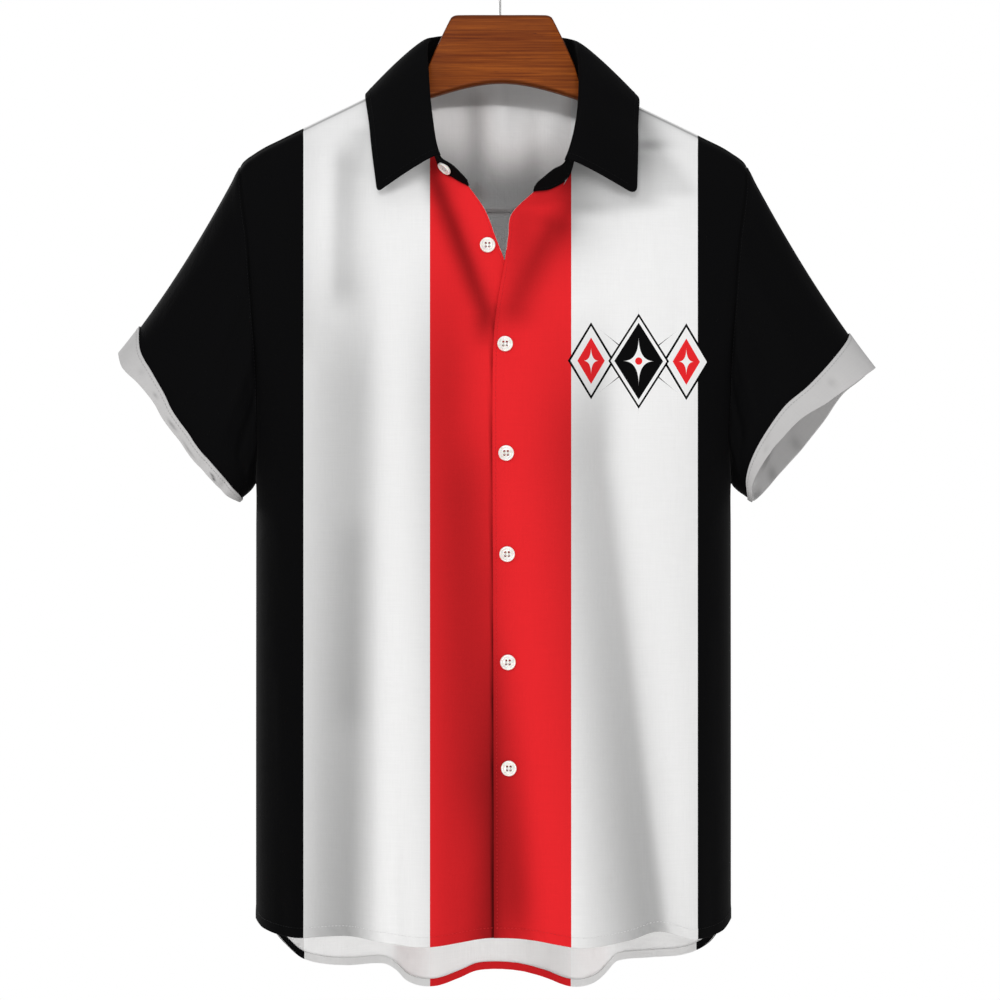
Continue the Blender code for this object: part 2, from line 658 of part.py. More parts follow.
def cloth_piece(name, grid, sign, sewn, inner=-WALL, outer=0.0, ring=False):
    return {
        "name": name, "grid": grid, "normals": grid_normals(grid, sign, ring), "sewn": sewn,
        "inner": inner, "outer": outer, "ring": ring,
    }


def armhole_ring(side, front, yoke, back):
    # Down the front, up the back and over the yoke
    last = 0 if side < 0 else -1
    ring = [row[-1] for row in front[:ARM_FRONT + 1]]
    ring += [row[last] for row in back[ARM_BACK - 1::-1]]
    ring += [row[last] for row in yoke[YOKE_ROWS - 1:0:-1]]
    return ring


def build_garment():
    printed = add_material("printed_polyester", (0.83, 0.83, 0.83), 0.75)
    dark = add_material("black_polyester", (0.006, 0.006, 0.007), 0.8)
    wrong_side = add_material("polyester_wrong_side", (0.6, 0.6, 0.6), 0.8)
    resin = add_material("button_resin", (0.86, 0.85, 0.82), 0.3)

    under, over = front_grid(-1), front_grid(1)
    yoke = yoke_grid()
    back = back_grid(yoke[-1])
    body = [
        cloth_piece("front_under", under, 1, ("top", "last")),
        cloth_piece("front_over", over, -1, ("top", "last")),
        cloth_piece("yoke", yoke, 1, ("top", "low", "first", "last")),
        cloth_piece("back", back, 1, ("top", "first", "last")),
    ]
    sleeves = []
    for sleeve, front in zip(SLEEVES, (under, over)):
        grid = sleeve_grid(sleeve, armhole_ring(sleeve.side, front, yoke, back))
        piece = cloth_piece("sleeve_" + sleeve.name, grid, sleeve.side, ("top",), ring=True)
        sleeves.append(piece)
    stand = cloth_piece("collar_stand", stand_grid(), -1, ("top",), -COLLAR_WALL, 0.0)
    shared_normals(body + sleeves + [stand])

    for piece in body:
        add_wall(piece, printed)
    for piece in sleeves:
        add_wall(piece, dark)
        cuff = dict(piece, name=piece["name"].replace("sleeve", "cuff"), sewn=())
        cuff["grid"] = piece["grid"][SLEEVE_ROWS:]
        cuff["normals"] = piece["normals"][SLEEVE_ROWS:]
        cuff["inner"], cuff["outer"] = SEAM_GAP, SEAM_GAP + WALL
        add_wall(cuff, wrong_side)
    add_wall(stand, dark)
    inward = [-normal for normal in stand["normals"][-1]]
    leaf = cloth_piece("collar_leaf", leaf_grid(stand["grid"], inward), 1, (), -COLLAR_WALL, 0.0)
    leaf["normals"][0] = inward[LEAF_FROM:LEAF_TO + 1]
    add_wall(leaf, dark)
    band = dict(body[3], name="hem_band_back", sewn=("first", "last"))
    band["grid"], band["normals"] = band["grid"][-2:], band["normals"][-2:]
    band["outer"] = -WALL - SEAM_GAP
    band["inner"] = band["outer"] - BAND_WALL
    add_wall(band, printed)
    build_buttons(stand["grid"], resin)


def button_mesh():
    # A dished disc with a raised rim and four thread holes, its back on the XY plane
    rim, dish = BUTTON_RADIUS - BUTTON_RIM, BUTTON_THICK - BUTTON_DISH
    profile = [
        (0, 0), (BUTTON_RADIUS - BUTTON_EDGE, 0), (BUTTON_RADIUS, BUTTON_EDGE),
        (BUTTON_RADIUS, BUTTON_THICK - BUTTON_EDGE), (BUTTON_RADIUS - BUTTON_EDGE, BUTTON_THICK),
        (rim, BUTTON_THICK), (rim - BUTTON_DISH, dish), (0, dish),
    ]
    mesh = bpy.data.meshes.new("button")
    solid = bmesh.new()
    rings = []
    for radius, height in profile:
        if radius == 0:
            rings.append([solid.verts.new((0, 0, height * MM))])
            continue
        turn = [2 * math.pi * i / BUTTON_SIDES for i in range(BUTTON_SIDES)]
        rings.append([
            solid.verts.new((radius * math.cos(a) * MM, radius * math.sin(a) * MM, height * MM)) for a in turn
        ])
    for low, high in zip(rings, rings[1:]):
        for i in range(BUTTON_SIDES):
            n = (i + 1) % BUTTON_SIDES
            if len(low) == 1:
                solid.faces.new((low[0], high[i], high[n]))
            elif len(high) == 1:
                solid.faces.new((low[i], low[n], high[0]))
            else:
                solid.faces.new((low[i], low[n], high[n], high[i]))
    bmesh.ops.recalc_face_normals(solid, faces=solid.faces)
    solid.to_mesh(mesh)
    solid.free()
    return mesh


def cut_holes(obj):
    for i in range(4):
        angle = math.pi / 4 + i * math.pi / 2
        reach = BUTTON_HOLE_OUT * math.sqrt(2)
        bpy.ops.mesh.primitive_cylinder_add(
            vertices=6, radius=BUTTON_HOLE * MM, depth=3 * BUTTON_THICK * MM,
            location=(reach * math.cos(angle) * MM, reach * math.sin(angle) * MM, BUTTON_THICK / 2 * MM),
        )
        cutter = bpy.context.object
        cutter.name = obj.name + "_thread_hole_%d" % i
        cutter.hide_render = True
        cutter.display_type = "WIRE"
        cutter.parent = obj
        hole = obj.modifiers.new("thread hole", "BOOLEAN")
        hole.object = cutter


def place_button(name, mesh, point, normal, material):
    obj = add_object(name, mesh.copy(), material)
    turn = Vector((0, 0, 1)).rotation_difference(normal)
    obj.rotation_mode = "QUATERNION"
    obj.rotation_quaternion = turn
    obj.location = (point + normal * BUTTON_OFF) * MM
    cut_holes(obj)


def build_buttons(stand, resin):
    mesh = button_mesh()
    for button in BUTTONS:
        over = button.front == "over"
        middle = front_point(button.x, button.z, over)
        across = front_point(button.x + 4, button.z, over) - front_point(button.x - 4, button.z, over)
        down = front_point(button.x, button.z - 4, over) - front_point(button.x, button.z + 4, over)
        place_button(button.name, mesh, middle, down.cross(across).normalized(), resin)
    low, high = (stand[STAND_BUTTON_ROW + i] for i in range(2))
    low, high = (row[STAND_BUTTON_COLUMN:STAND_BUTTON_COLUMN + 2] for row in (low, high))
    facing = (high[0] - low[1]).cross(high[1] - low[0]).normalized()
    place_button("button_stand", mesh, (low[0] + low[1] + high[0] + high[1]) / 4, facing, resin)


def wood_top(x):
    if abs(x - HUB_MID) < HUB_TOP[-1].x:
        return row_at(HUB_TOP, abs(x - HUB_MID)).top
    return ridge_z(x) - WOOD_UNDER_RIDGE


def wood_section(x, top, low, half):
    # A rounded rectangle across the wood at one place along it
    corner = min(WOOD_ROUND, half * WOOD_ROUND_THICK, (top - low) * WOOD_ROUND_HIGH)
    section = []
    for y_side, z_edge, start in ((1, top, 0), (-1, top, 1), (-1, low, 2), (1, low, 3)):
        for i in range(3):
            angle = (start + i / 2) * math.pi / 2
            y = y_side * (half - corner) + corner * math.cos(angle)
            z = z_edge + (-corner if z_edge == top else corner) + corner * math.sin(angle)
            section.append(Vector((x, y, z)))
    return section


def build_wood():
    wood = add_material("varnished_wood", (0.27, 0.07, 0.02), 0.35)
    hub = HUB_TOP[-1].x
    step = (ARM_REACH - hub) / ARM_STATIONS
    reach = [hub + step * i for i in range(1, ARM_STATIONS + 1)]
    crown = HUB_SECTIONS + [hub]
    places = sorted([BODY_MID - r for r in reach] + [HUB_MID - c for c in crown[1:]]
                    + [HUB_MID + c for c in crown] + [BODY_MID + r for r in reach])
    sections = []
    for x in places:
        low = row_at(WOOD_UNDERSIDE, abs(x - HUB_MID)).z
        sections.append(wood_section(x, wood_top(x), low, WOOD_HALF))
    for end, side in ((0, -1), (-1, 1)):
        # the arm's rounded end
        x = places[end]
        top, low = wood_top(x) - TIP_LENGTH, row_at(WOOD_UNDERSIDE, ARM_REACH).z
        tip = wood_section(x + side * TIP_LENGTH, top, low + TIP_TAPER, WOOD_HALF - TIP_TAPER)
        sections.insert(0 if side < 0 else len(sections), tip)
    count = len(sections[0])
    points = [p for section in sections for p in section]
    faces = [tuple(range(count)), tuple(range(len(points) - count, len(points)))]
    for k in range(len(sections) - 1):
        for j in range(count):
            a, b = k * count + j, k * count + (j + 1) % count
            faces.append((a, b, b + count, a + count))
    add_solid("hanger_wood", points, faces, wood)


def hook_path():
    # Up the stem, out to one side and round over the top
    radius = WIRE_RADIUS + HOOK_BEND
    path = [Vector((0, 0, STEM_FOOT_Z + (STEM_TOP_Z - STEM_FOOT_Z) * i / 3)) for i in range(4)]
    for i in range(1, SWING_POINTS):
        t = i / SWING_POINTS
        path.append(Vector((radius * soft_step(t), 0, STEM_TOP_Z + (-HOOK_BEND - STEM_TOP_Z) * t)))
    for i in range(HOOK_TURN):
        angle = math.pi * i / HOOK_HALF_TURN
        path.append(Vector((radius * math.cos(angle), 0, radius * math.sin(angle) - HOOK_BEND)))
    return path


def build_hook():
    steel = add_material("plated_steel", (0.4, 0.4, 0.41), 0.35, 1.0)
    curve = bpy.data.curves.new("hanger_hook", "CURVE")
    curve.dimensions = "3D"
    curve.bevel_depth = WIRE_RADIUS * MM
    curve.bevel_resolution = 2
    curve.use_fill_caps = True
    spline = curve.splines.new("POLY")
    path = hook_path()
    spline.points.add(len(path) - 1)
    for point, place in zip(spline.points, path):
        point.co = (*(place * MM), 1)
    obj = bpy.data.objects.new("hanger_hook", curve)
    curve.materials.append(steel)
    bpy.context.scene.collection.objects.link(obj)


def main():
    for obj in list(bpy.data.objects):
        bpy.data.objects.remove(obj, do_unlink=True)
    build_garment()
    build_wood()
    build_hook()


main()
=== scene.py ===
import math

import bmesh
import bpy
import numpy as np
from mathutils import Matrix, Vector


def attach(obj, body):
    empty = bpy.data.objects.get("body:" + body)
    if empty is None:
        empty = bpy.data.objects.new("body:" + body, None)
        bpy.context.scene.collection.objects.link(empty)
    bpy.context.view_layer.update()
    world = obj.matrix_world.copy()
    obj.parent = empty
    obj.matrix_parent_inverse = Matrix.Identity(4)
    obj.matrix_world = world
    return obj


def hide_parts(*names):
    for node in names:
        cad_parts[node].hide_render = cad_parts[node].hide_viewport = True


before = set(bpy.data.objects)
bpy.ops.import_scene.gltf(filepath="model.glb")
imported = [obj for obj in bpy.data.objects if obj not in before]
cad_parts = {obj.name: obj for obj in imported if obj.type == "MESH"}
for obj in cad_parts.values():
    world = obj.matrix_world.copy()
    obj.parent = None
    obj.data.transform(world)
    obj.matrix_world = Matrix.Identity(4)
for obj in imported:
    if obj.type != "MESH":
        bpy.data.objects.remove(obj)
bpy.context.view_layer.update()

mm = 0.001  # every size below is in millimetres until it becomes a mesh point


def softStep(t):
    t = np.clip(t, 0.0, 1.0)
    return t * t * (3 - 2 * t)


def readRows(rows, key, column):
    # smooth curve through a table, read by its first column, flat past both ends
    table = np.array(rows, float)
    if table[0, 0] > table[-1, 0]:
        table = table[::-1]
    keys, values = table[:, 0], table[:, column]
    after = np.minimum(np.arange(len(keys)) + 1, len(keys) - 1)
    before = np.maximum(np.arange(len(keys)) - 1, 0)
    slopes = (values[after] - values[before]) / (keys[after] - keys[before])
    key = np.asarray(key, float)
    i = np.clip(np.searchsorted(keys, key, side="right") - 1, 0, len(keys) - 2)
    span = keys[i + 1] - keys[i]
    t = np.clip((key - keys[i]) / span, 0, 1)
    return (
        values[i] * (2 * t**3 - 3 * t**2 + 1) + slopes[i] * span * (t**3 - 2 * t**2 + t)
        + values[i + 1] * (3 * t**2 - 2 * t**3) + slopes[i + 1] * span * (t**3 - t**2)
    )


def spread(count, start, middle, end):
    # shares from 0 to 1 whose steps grow or shrink as the three weights say
    t = (np.arange(count) + 0.5) / count
    steps = np.where(t < 0.5, start + (middle - start) * 2 * t, middle + (end - middle) * (2 * t - 1))
    return np.concatenate([[0.0], np.cumsum(steps) / steps.sum()])


def unit(vectors):
    return vectors / np.maximum(np.linalg.norm(vectors, axis=-1, keepdims=True), 1e-9)


def pointsAt(x, y, z):
    return np.stack(np.broadcast_arrays(x, y, z), axis=-1).astype(float)


# the body's form, the same as the solids'
body = {
    "wall": 1.0,  # the cloth itself; the solids' wall is 1.5
    "mid": -5.5, "half": 199.4, "squareness": 2.2,
    "ridgeRadius": 9.0, "easeDrop": 150.0, "shoulderSeam": -5.0, "neckSide": 70.5,
    "yokeSeam": -231.0, "armpit": -466.0, "sideHem": -828.0, "hemBand": 6.2,
    "lapStep": 2.1, "lapReach": 62.0, "lapEase": 38.0, "lapTop": -252.0, "lapTopEase": 26.0,
    # reach from the middle, height of the shoulder ridge
    "ridge": [
        (-45, -108), (0, -99), (45, -108), (68, -121), (106, -141.5), (147.5, -161.8), (178.5, -177),
        (196, -186), (212, -198.3), (226, -215), (236, -235),
    ],
    # height, half width, front depth, back depth
    "levels": [
        (-90, 285, 42, 66), (-143, 278, 50, 70), (-205, 262, 60, 74), (-276, 247, 73, 77),
        (-348, 227.5, 82, 80), (-395, 213.4, 86, 82), (-437, 203.0, 88, 84), (-466, 199.6, 88, 84),
        (-500, 199.4, 90, 86), (-705, 199.4, 92, 90), (-900, 199.4, 95, 92),
    ],
    # height, reach of the armhole seam from the middle
    "armhole": [
        (-190, 212.5), (-223, 210), (-264, 204), (-314, 200), (-356, 197), (-397, 195.7), (-437, 196.6),
        (-466, 199.6),
    ],
    # height, x of the free front edges
    "underEdge": [
        (-221.5, -26.2), (-242, -12.3), (-265.4, -3.3), (-282, 3.0), (-300, 9), (-330, 14),
        (-370, 16.5), (-420, 17), (-600, 17), (-900, 17),
    ],
    "overEdge": [
        (-226.5, 27.9), (-245, 9.6), (-263.3, 6.8), (-282.2, 4.4), (-316.6, -1.6), (-345.2, -4.9),
        (-400, -6), (-600, -5.3), (-900, -4.6),
    ],
    # x, height of the hems
    "frontHem": [
        (-205, -828), (-196, -834.5), (-170, -838.5), (-122, -835.5), (-62, -841), (-8, -835),
        (28, -836), (68, -842), (106, -838.5), (132, -832), (160, -839.5), (184, -836.5), (194, -828),
    ],
    "backHem": [
        (-205, -828), (-198, -838), (-184, -858), (-168, -873), (-134, -879.5), (-102, -880.5),
        (-88, -887), (-78, -895), (-58, -898), (-36, -893), (-20, -888), (12, -888), (40, -892.5),
        (62, -898), (80, -895.5), (92, -887), (102, -878), (130, -872.5), (160, -868), (178, -857),
        (188, -841), (194, -828),
    ],
}

# one row each: top x, top height, low x, low height, width to the left, width to the right,
# rise at the top, rise at the low end
frontFolds = [
    (-119, -345, -127, -860, 38, 15, -3, -9),  # the large hanging folds, as in the solids
    (-68, -560, -64, -860, 26, 26, 0, 7),
    (-34, -430, -20, -860, 30, 14, -2, -4),
    (-9, -560, -5, -860, 16, 22, -1, -6),
    (6, -590, 18, -860, 20, 11, -1, -4),
    (58, -620, 62, -860, 22, 22, 0, 7),
    (67, -438, 126, -860, 34, 13, -4, -9),
    (-170, -560, -166, -860, 16, 16, 0, 4),
    (160, -560, 157, -860, 20, 20, 0, 5),
    (-128, -215, -127, -325, 9, 7, -2.5, -1.5),
    (-45, -247, -10, -344, 9, 8, -3.5, -1.5),
    (48, -244, 11, -344, 20, 9, -3.5, -1.2),
    (-98, -330, -101, -860, 8, 12, 1.0, 3.2),  # crisp lips beside them
    (90, -430, 143, -860, 8, 12, 0.8, 3.2),
    (-150, -520, -153, -860, 6, 9, 0, -2.0),
    (-31, -255, 0, -344, 6, 7, 1.8, 0.6),
    (36, -258, 2, -344, 8, 7, 1.6, 0.4),
    (-104, -175, -112, -290, 6, 6, 0.8, -0.9),  # small creases under collar and shoulders
    (-92, -205, -98, -330, 5, 7, -0.8, 0.5),
    (-150, -200, -146, -330, 7, 5, 0.9, -0.8),
    (-112, -350, -122, -470, 6, 5, -0.9, 0.3),
    (-86, -380, -92, -520, 7, 5, 0.6, -0.5),
    (96, -190, 104, -300, 7, 5, -1.4, 0.4),
    (122, -180, 126, -300, 8, 6, -1.1, 0.5),
    (150, -210, 146, -340, 7, 9, 0.7, -0.6),
    (84, -470, 100, -610, 6, 4, 0.9, -0.7),
    (-190, -470, -150, -560, 8, 7, -1.8, 0.3),  # pulls from the armpits
    (-186, -462, -168, -620, 9, 7, 1.2, -0.4),
    (-192, -458, -132, -500, 7, 6, -1.4, 0.2),
    (180, -470, 142, -565, 8, 7, -1.6, 0.3),
    (176, -462, 160, -610, 9, 7, 1.2, -0.4),
    (184, -458, 128, -494, 7, 6, -1.3, 0.2),
    (-182, -640, -178, -850, 5, 7, 1.4, -1.6),  # ripples down the sides
    (172, -600, 176, -850, 7, 5, 1.2, -1.6),
    (-88, -640, -84, -850, 7, 5, 0, -1.6),
    (36, -660, 40, -850, 6, 8, 0, 1.4),
]
backFolds = [
    (-64, -330, -60, -900, 26, 26, -1, -22),  # the large hanging folds, as in the solids
    (66, -360, 63, -900, 26, 26, -1, -22),
    (0, -420, 0, -900, 30, 30, 0, 4),
    (-128, -480, -140, -900, 24, 24, 0, -9),
    (126, -450, 136, -900, 24, 24, 0, -8),
    (-96, -300, -92, -900, 12, 9, 0.6, 4.5),
    (98, -320, 95, -900, 9, 12, 0.6, 4.5),
    (-24, -260, -28, -640, 9, 7, -1.4, 0.9),
    (20, -270, 24, -600, 8, 10, 1.1, -1.2),
    (-150, -300, -158, -560, 9, 6, -1.2, 1.4),
    (146, -290, 152, -590, 6, 9, 1.2, -1.4),
    (-44, -245, -50, -420, 6, 5, 1.1, -0.5),
    (42, -245, 47, -400, 5, 6, -1.1, 0.5),
    (-78, -250, -84, -480, 6, 8, -1.3, 0.6),
    (74, -255, 82, -500, 8, 6, 1.2, -0.7),
    (-10, -300, -14, -560, 5, 6, 0.8, -0.9),
    (-188, -462, -146, -580, 9, 7, -1.8, 0.4),
    (-184, -470, -164, -640, 7, 9, 1.3, -0.5),
    (178, -462, 138, -570, 7, 9, -1.8, 0.4),
    (174, -470, 158, -640, 9, 7, 1.2, -0.5),
    (-110, -245, -114, -360, 7, 5, 0.9, -0.6),
    (108, -245, 112, -350, 5, 7, -0.9, 0.6),
    (-20, -640, -16, -860, 7, 5, 0, 2.0),
    (26, -660, 30, -860, 5, 8, 0, -2.0),
]
# short creases of the yoke, behind the neck and over the shoulder blades
yokeFolds = [
    (-19, -146, -17, -212, 9, 7, -2.4, -1.8), (4, -142, 7, -196, 5, 5, 1.3, 0.4),
    (31, -148, 34, -214, 10, 8, -1.4, -1.0), (-42, -148, -44, -214, 8, 8, 1.1, 0.9),
    (-6, -140, -8, -172, 3.5, 3.5, -0.7, 0.2), (18, -140, 19, -168, 3.5, 3, -0.6, 0.2),
    (-92, -178, -97, -212, 12, 9, -1.1, -0.8), (96, -180, 101, -212, 9, 12, -1.1, -0.8),
    (-140, -192, -146, -214, 9, 8, 0.9, 0.6), (144, -194, 150, -214, 8, 9, 0.9, 0.6),
]
# the same kind of rows, but painted shade instead of rise: how much darker the cloth's colour is made
# in the hollows of its folds, beside the placket and where the collar casts its shadow
frontShades = [
    (-120, -400, -128, -860, 50, 19, 0.40, 0.56),
    (-118, -520, -120, -640, 20, 14, 0.08, 0.08),
    (-130, -206, -131, -300, 8, 19, 0.32, 0.25),
    (-164, -190, -162, -330, 13, 12, 0.08, 0.12),
    (-114, -176, -117, -206, 13, 10, 0.18, 0.06),
    (79, -445, 130, -860, 42, 14, 0.40, 0.56),
    (-45, -400, -34, -860, 26, 24, 0.32, 0.27),
    (-27, -480, -24, -700, 16, 18, 0.17, 0.14),
    (-10, -500, -9, -860, 15, 8, 0.12, 0.42),
    (-2, -560, 12, -800, 18, 15, 0.08, 0.46),
    (-3, -640, -2, -860, 6, 9, 0.12, 0.14),
    (-54, -216, -12, -326, 9.5, 9, 0.62, 0.52),
    (38, -212, 36, -234, 18, 20, 0.42, 0.26),
    (44, -256, 12, -322, 12, 17, 0.44, 0.28),
    (18, -250, 8, -330, 14, 16, 0.26, 0.10),
    (58, -198, 62, -237, 14, 34, 0.56, 0.48),
    (58, -250, 58, -300, 12, 28, 0.24, 0.04),
    (108, -150, 122, -182, 24, 18, 0.62, 0.52),
    (113, -195, 117, -232, 18, 18, 0.40, 0.26),
    (128, -188, 152, -222, 28, 12, 0.26, 0.20),
]
backShades = [
    (-66, -360, -74, -860, 12, 34, 0.16, 0.40), (70, -380, 78, -860, 34, 12, 0.14, 0.38),
    (-140, -460, -152, -860, 12, 26, 0.10, 0.28), (136, -430, 148, -860, 26, 12, 0.10, 0.26),
    (-14, -420, -18, -860, 10, 22, 0.06, 0.20), (26, -520, 30, -860, 18, 9, 0.04, 0.16),
    (-158, -290, -166, -480, 8, 18, 0.16, 0.08), (154, -280, 160, -470, 18, 8, 0.16, 0.08),
    (-30, -262, -36, -420, 7, 16, 0.14, 0.03), (44, -262, 52, -400, 14, 7, 0.12, 0.03),
    (-98, -250, -108, -380, 16, 8, 0.12, 0.04), (100, -250, 108, -400, 8, 18, 0.12, 0.04),
]
shadeFade = 0.35  # shades die out over a longer stretch than the folds themselves
mostShade = 0.85
# painted shadow: the under front is made darker where it goes in under the lap's edge
lapShade = {"shade": 0.55, "wide": 1.6, "from": -300, "over": 60}
# the yoke's creases: where they begin behind the ridge, how they fade, and the painted shade put in them
yokeCreases = {"from": 4, "over": 12, "fade": 0.5, "shade": 0.07, "mostShade": 0.3}
# painted shade inside, behind the open collar: the colour is made darker towards the bottom of the opening
neckPaintedShade = {"from": -146, "over": 70, "shade": 0.94, "endsAt": -420, "endsOver": 100, "foldsEndAt": -300}
# and painted shade in bands beside it
neckShades = [
    (-50, -110, -46, -188, 26, 26, 0.40, 0.34), (-19, -146, -19, -205, 12, 12, 0.56, 0.50),
    (28, -160, 29, -205, 9, 9, 0.16, 0.26),
]


def ridgeHeight(x):
    return readRows(body["ridge"], np.abs(x - body["mid"]), 1)


def plainDepth(x, z, side):
    # how far the plain cloth stands off the hanger's plane; side is -1 for the front
    drop = np.maximum(0.0, ridgeHeight(x) - z)
    standOff = readRows(body["levels"], z, 2 if side < 0 else 3)
    across = np.minimum(1.0, np.abs(x - body["mid"]) / readRows(body["levels"], z, 1))
    full = standOff * (1 - across ** body["squareness"]) ** (1 / body["squareness"])
    overArm = body["ridgeRadius"] * np.sqrt(1 - (1 - np.minimum(1, drop / body["ridgeRadius"])) ** 2)
    ease = 1 - (1 - np.minimum(1, drop / body["easeDrop"])) ** 3
    return overArm * (1 - ease) + full * ease


def foldRise(folds, x, z, fade=0.125):
    # each fold fades out past its two ends, and all of them at the side seams
    rise = 0.0
    for topX, topZ, lowX, lowZ, left, right, topRise, lowRise in folds:
        t = (topZ - z) / (topZ - lowZ)
        held = softStep(1 + t / fade) * softStep(1 + (1 - t) / fade)
        t = np.clip(t, 0, 1)
        middle = topX + (lowX - topX) * t
        along = topRise + (lowRise - topRise) * softStep(t)
        width = np.where(x < middle, left, right)
        rise = rise + along * held * np.exp(-(((x - middle) / width) ** 2))
    return rise * (1 - np.minimum(1, np.abs(x - body["mid"]) / body["half"]) ** 8)


def frontSurface(x, z, over):
    off = plainDepth(x, z, -1) + foldRise(frontFolds, x, z)
    if over:
        across, down = (body["lapReach"] - x) / body["lapEase"], (body["lapTop"] - z) / body["lapTopEase"]
        off = off + body["lapStep"] * softStep(across) * softStep(down)
    return pointsAt(x, -off, z)


def backSurface(x, z):
    return pointsAt(x, plainDepth(x, z, 1) + foldRise(backFolds, x, z), z)


def wrapPoint(x, wrap):
    # wrap runs round the shoulder ridge, below 0 on the front and above 0 on the back
    z = ridgeHeight(x) - wrap**2 / (2 * body["ridgeRadius"])
    y = np.where(wrap < 0, -plainDepth(x, z, -1), plainDepth(x, z, 1))
    return pointsAt(x, y, z)


def easedPatch(top, low, first, last, shares, hold):
    # x and z over a patch between two side edges; its top and low edges fade into it
    across = np.linspace(0, 1, len(top))
    t = np.linspace(0, 1, len(first))[:, None]
    x = first[:, :1] + (last[:, :1] - first[:, :1]) * shares
    z = first[:, 1:] + (last[:, 1:] - first[:, 1:]) * across
    for edge, end, weight in ((top, 0, (1 - t) ** 3), (low, -1, t**hold)):
        start, stop = first[end], last[end]
        x = x + weight * (edge[:, 0] - start[0] - (stop[0] - start[0]) * shares)
        z = z + weight * (edge[:, 1] - start[1] - (stop[1] - start[1]) * across)
    return x, z


# each piece of cloth is a grid of points; these are its rows and columns
counts = {
    "neckFront": 36, "neckBack": 50, "shoulder": 60,  # columns
    "armFront": 99, "armBack": 78, "side": 140, "band": 5, "yoke": 42,  # rows
    "pull": 40, "stand": 14, "leaf": 46, "collar": 12, "sleeve": 56, "cuff": 14,
}


def sideHeights(top, low):
    plain = np.linspace(top, low + body["hemBand"], counts["side"])[1:]
    return np.concatenate([plain, np.linspace(low + body["hemBand"], low, counts["band"] + 1)[1:]])


def sideSeam(side, z):
    return pointsAt(body["mid"] + side * readRows(body["levels"], z, 1), 0.0, z)


def shoulderPoints(side, parts):
    neck = body["neckSide"] * side
    tip = body["mid"] + side * body["armhole"][0][1]
    return wrapPoint(neck + (tip - neck) * parts, np.full(len(parts), body["shoulderSeam"]))


def frontGrid(side):
    over = side > 0
    edgeRows = body["overEdge"] if over else body["underEdge"]
    ends = (collar["last"], collar["shoulders"][1]) if over else (0, collar["shoulders"][0])
    columns = np.linspace(*ends, counts["neckFront"] + 1)
    top = np.concatenate([
        neckPoint(columns), shoulderPoints(side, np.linspace(0, 1, counts["shoulder"] + 1)[1:]),
    ])
    arm = np.linspace(top[-1, 2], body["armpit"], counts["armFront"] + 1)
    heights = np.concatenate([arm, sideHeights(body["armpit"], body["sideHem"])])
    armX = body["mid"] + side * readRows(body["armhole"], arm, 1)
    armX[0] = top[-1, 0]
    sideX = body["mid"] + side * readRows(body["levels"], heights[len(arm):], 1)
    last = np.stack([np.concatenate([armX, sideX]), heights], axis=1)
    lowX = edgeRows[-1][1]
    inner = np.linspace(top[0, 2], body["armpit"], counts["armFront"] + 1)
    inner = np.concatenate([inner, sideHeights(body["armpit"], readRows(body["frontHem"], lowX, 1))])
    drift = softStep(np.linspace(0, 1, len(inner)))
    first = np.stack([top[0, 0] + (lowX - top[0, 0]) * drift, inner], axis=1)
    pull = readRows(edgeRows, inner, 1) - first[:, 0]
    pull[0] = 0
    shares = spread(len(top) - 1, 0.45, 1.0, 0.3)
    hemX = lowX + (last[-1, 0] - lowX) * shares
    low = np.stack([hemX, readRows(body["frontHem"], hemX, 1)], axis=1)
    x, z = easedPatch(top[:, [0, 2]], low, first, last, shares, 3)
    x = x + pull[:, None] * np.maximum(0, 1 - np.arange(len(top)) / counts["pull"]) ** 2
    grid = frontSurface(x, z, over)
    grid[0] = top
    grid[len(arm):, -1] = sideSeam(side, heights[len(arm):])
    grid[len(arm) - 1, -1, 1] = 0
    return grid


def backShares():
    half = spread(counts["shoulder"] + counts["neckBack"] // 2, 1.0, 1.1, 0.3)
    return np.concatenate([-half[:0:-1], half])


def yokeGrid():
    parts = np.linspace(0, 1, counts["shoulder"] + 1)
    neck = np.linspace(*collar["shoulders"], counts["neckBack"] + 1)
    top = np.concatenate([shoulderPoints(-1, parts[:0:-1]), neckPoint(neck), shoulderPoints(1, parts[1:])])
    seam = np.full(counts["shoulder"], body["shoulderSeam"])
    wraps = np.concatenate([seam, readRows(collar["stations"], neck, 2), seam])
    lowX = body["mid"] + backShares() * readRows(body["armhole"], body["yokeSeam"], 1)
    lowWrap = np.sqrt(2 * body["ridgeRadius"] * (ridgeHeight(lowX) - body["yokeSeam"]))
    t = np.linspace(0, 1, counts["yoke"] + 1)[:, None]
    return wrapPoint(top[:, 0] + (lowX - top[:, 0]) * t, wraps + (lowWrap - wraps) * t)


def backGrid(seam):
    arm = np.linspace(body["yokeSeam"], body["armpit"], counts["armBack"] + 1)
    heights = np.concatenate([arm, sideHeights(body["armpit"], body["sideHem"])])
    reach = np.concatenate([
        readRows(body["armhole"], arm, 1), readRows(body["levels"], heights[len(arm):], 1),
    ])
    left, right = (np.stack([body["mid"] + side * reach, heights], axis=1) for side in (-1, 1))
    shares = (backShares() + 1) / 2
    hemX = left[-1, 0] + (right[-1, 0] - left[-1, 0]) * shares
    hemZ = readRows(body["backHem"], hemX, 1)
    low = np.stack([hemX, hemZ + body["hemBand"]], axis=1)
    plain = len(heights) - counts["band"]
    x, z = easedPatch(seam[:, [0, 2]], low, left[:plain], right[:plain], shares, 4)
    # the last rows follow the hem line, a turned-up band's height above it
    above = body["hemBand"] * np.linspace(1, 0, counts["band"] + 1)[1:, None]
    x, z = np.concatenate([x, hemX + 0 * above]), np.concatenate([z, hemZ + above])
    grid = backSurface(x, z)
    grid[0] = seam
    for column, side in ((0, -1), (-1, 1)):
        grid[len(arm) - 1:, column] = sideSeam(side, heights[len(arm) - 1:])
    return grid


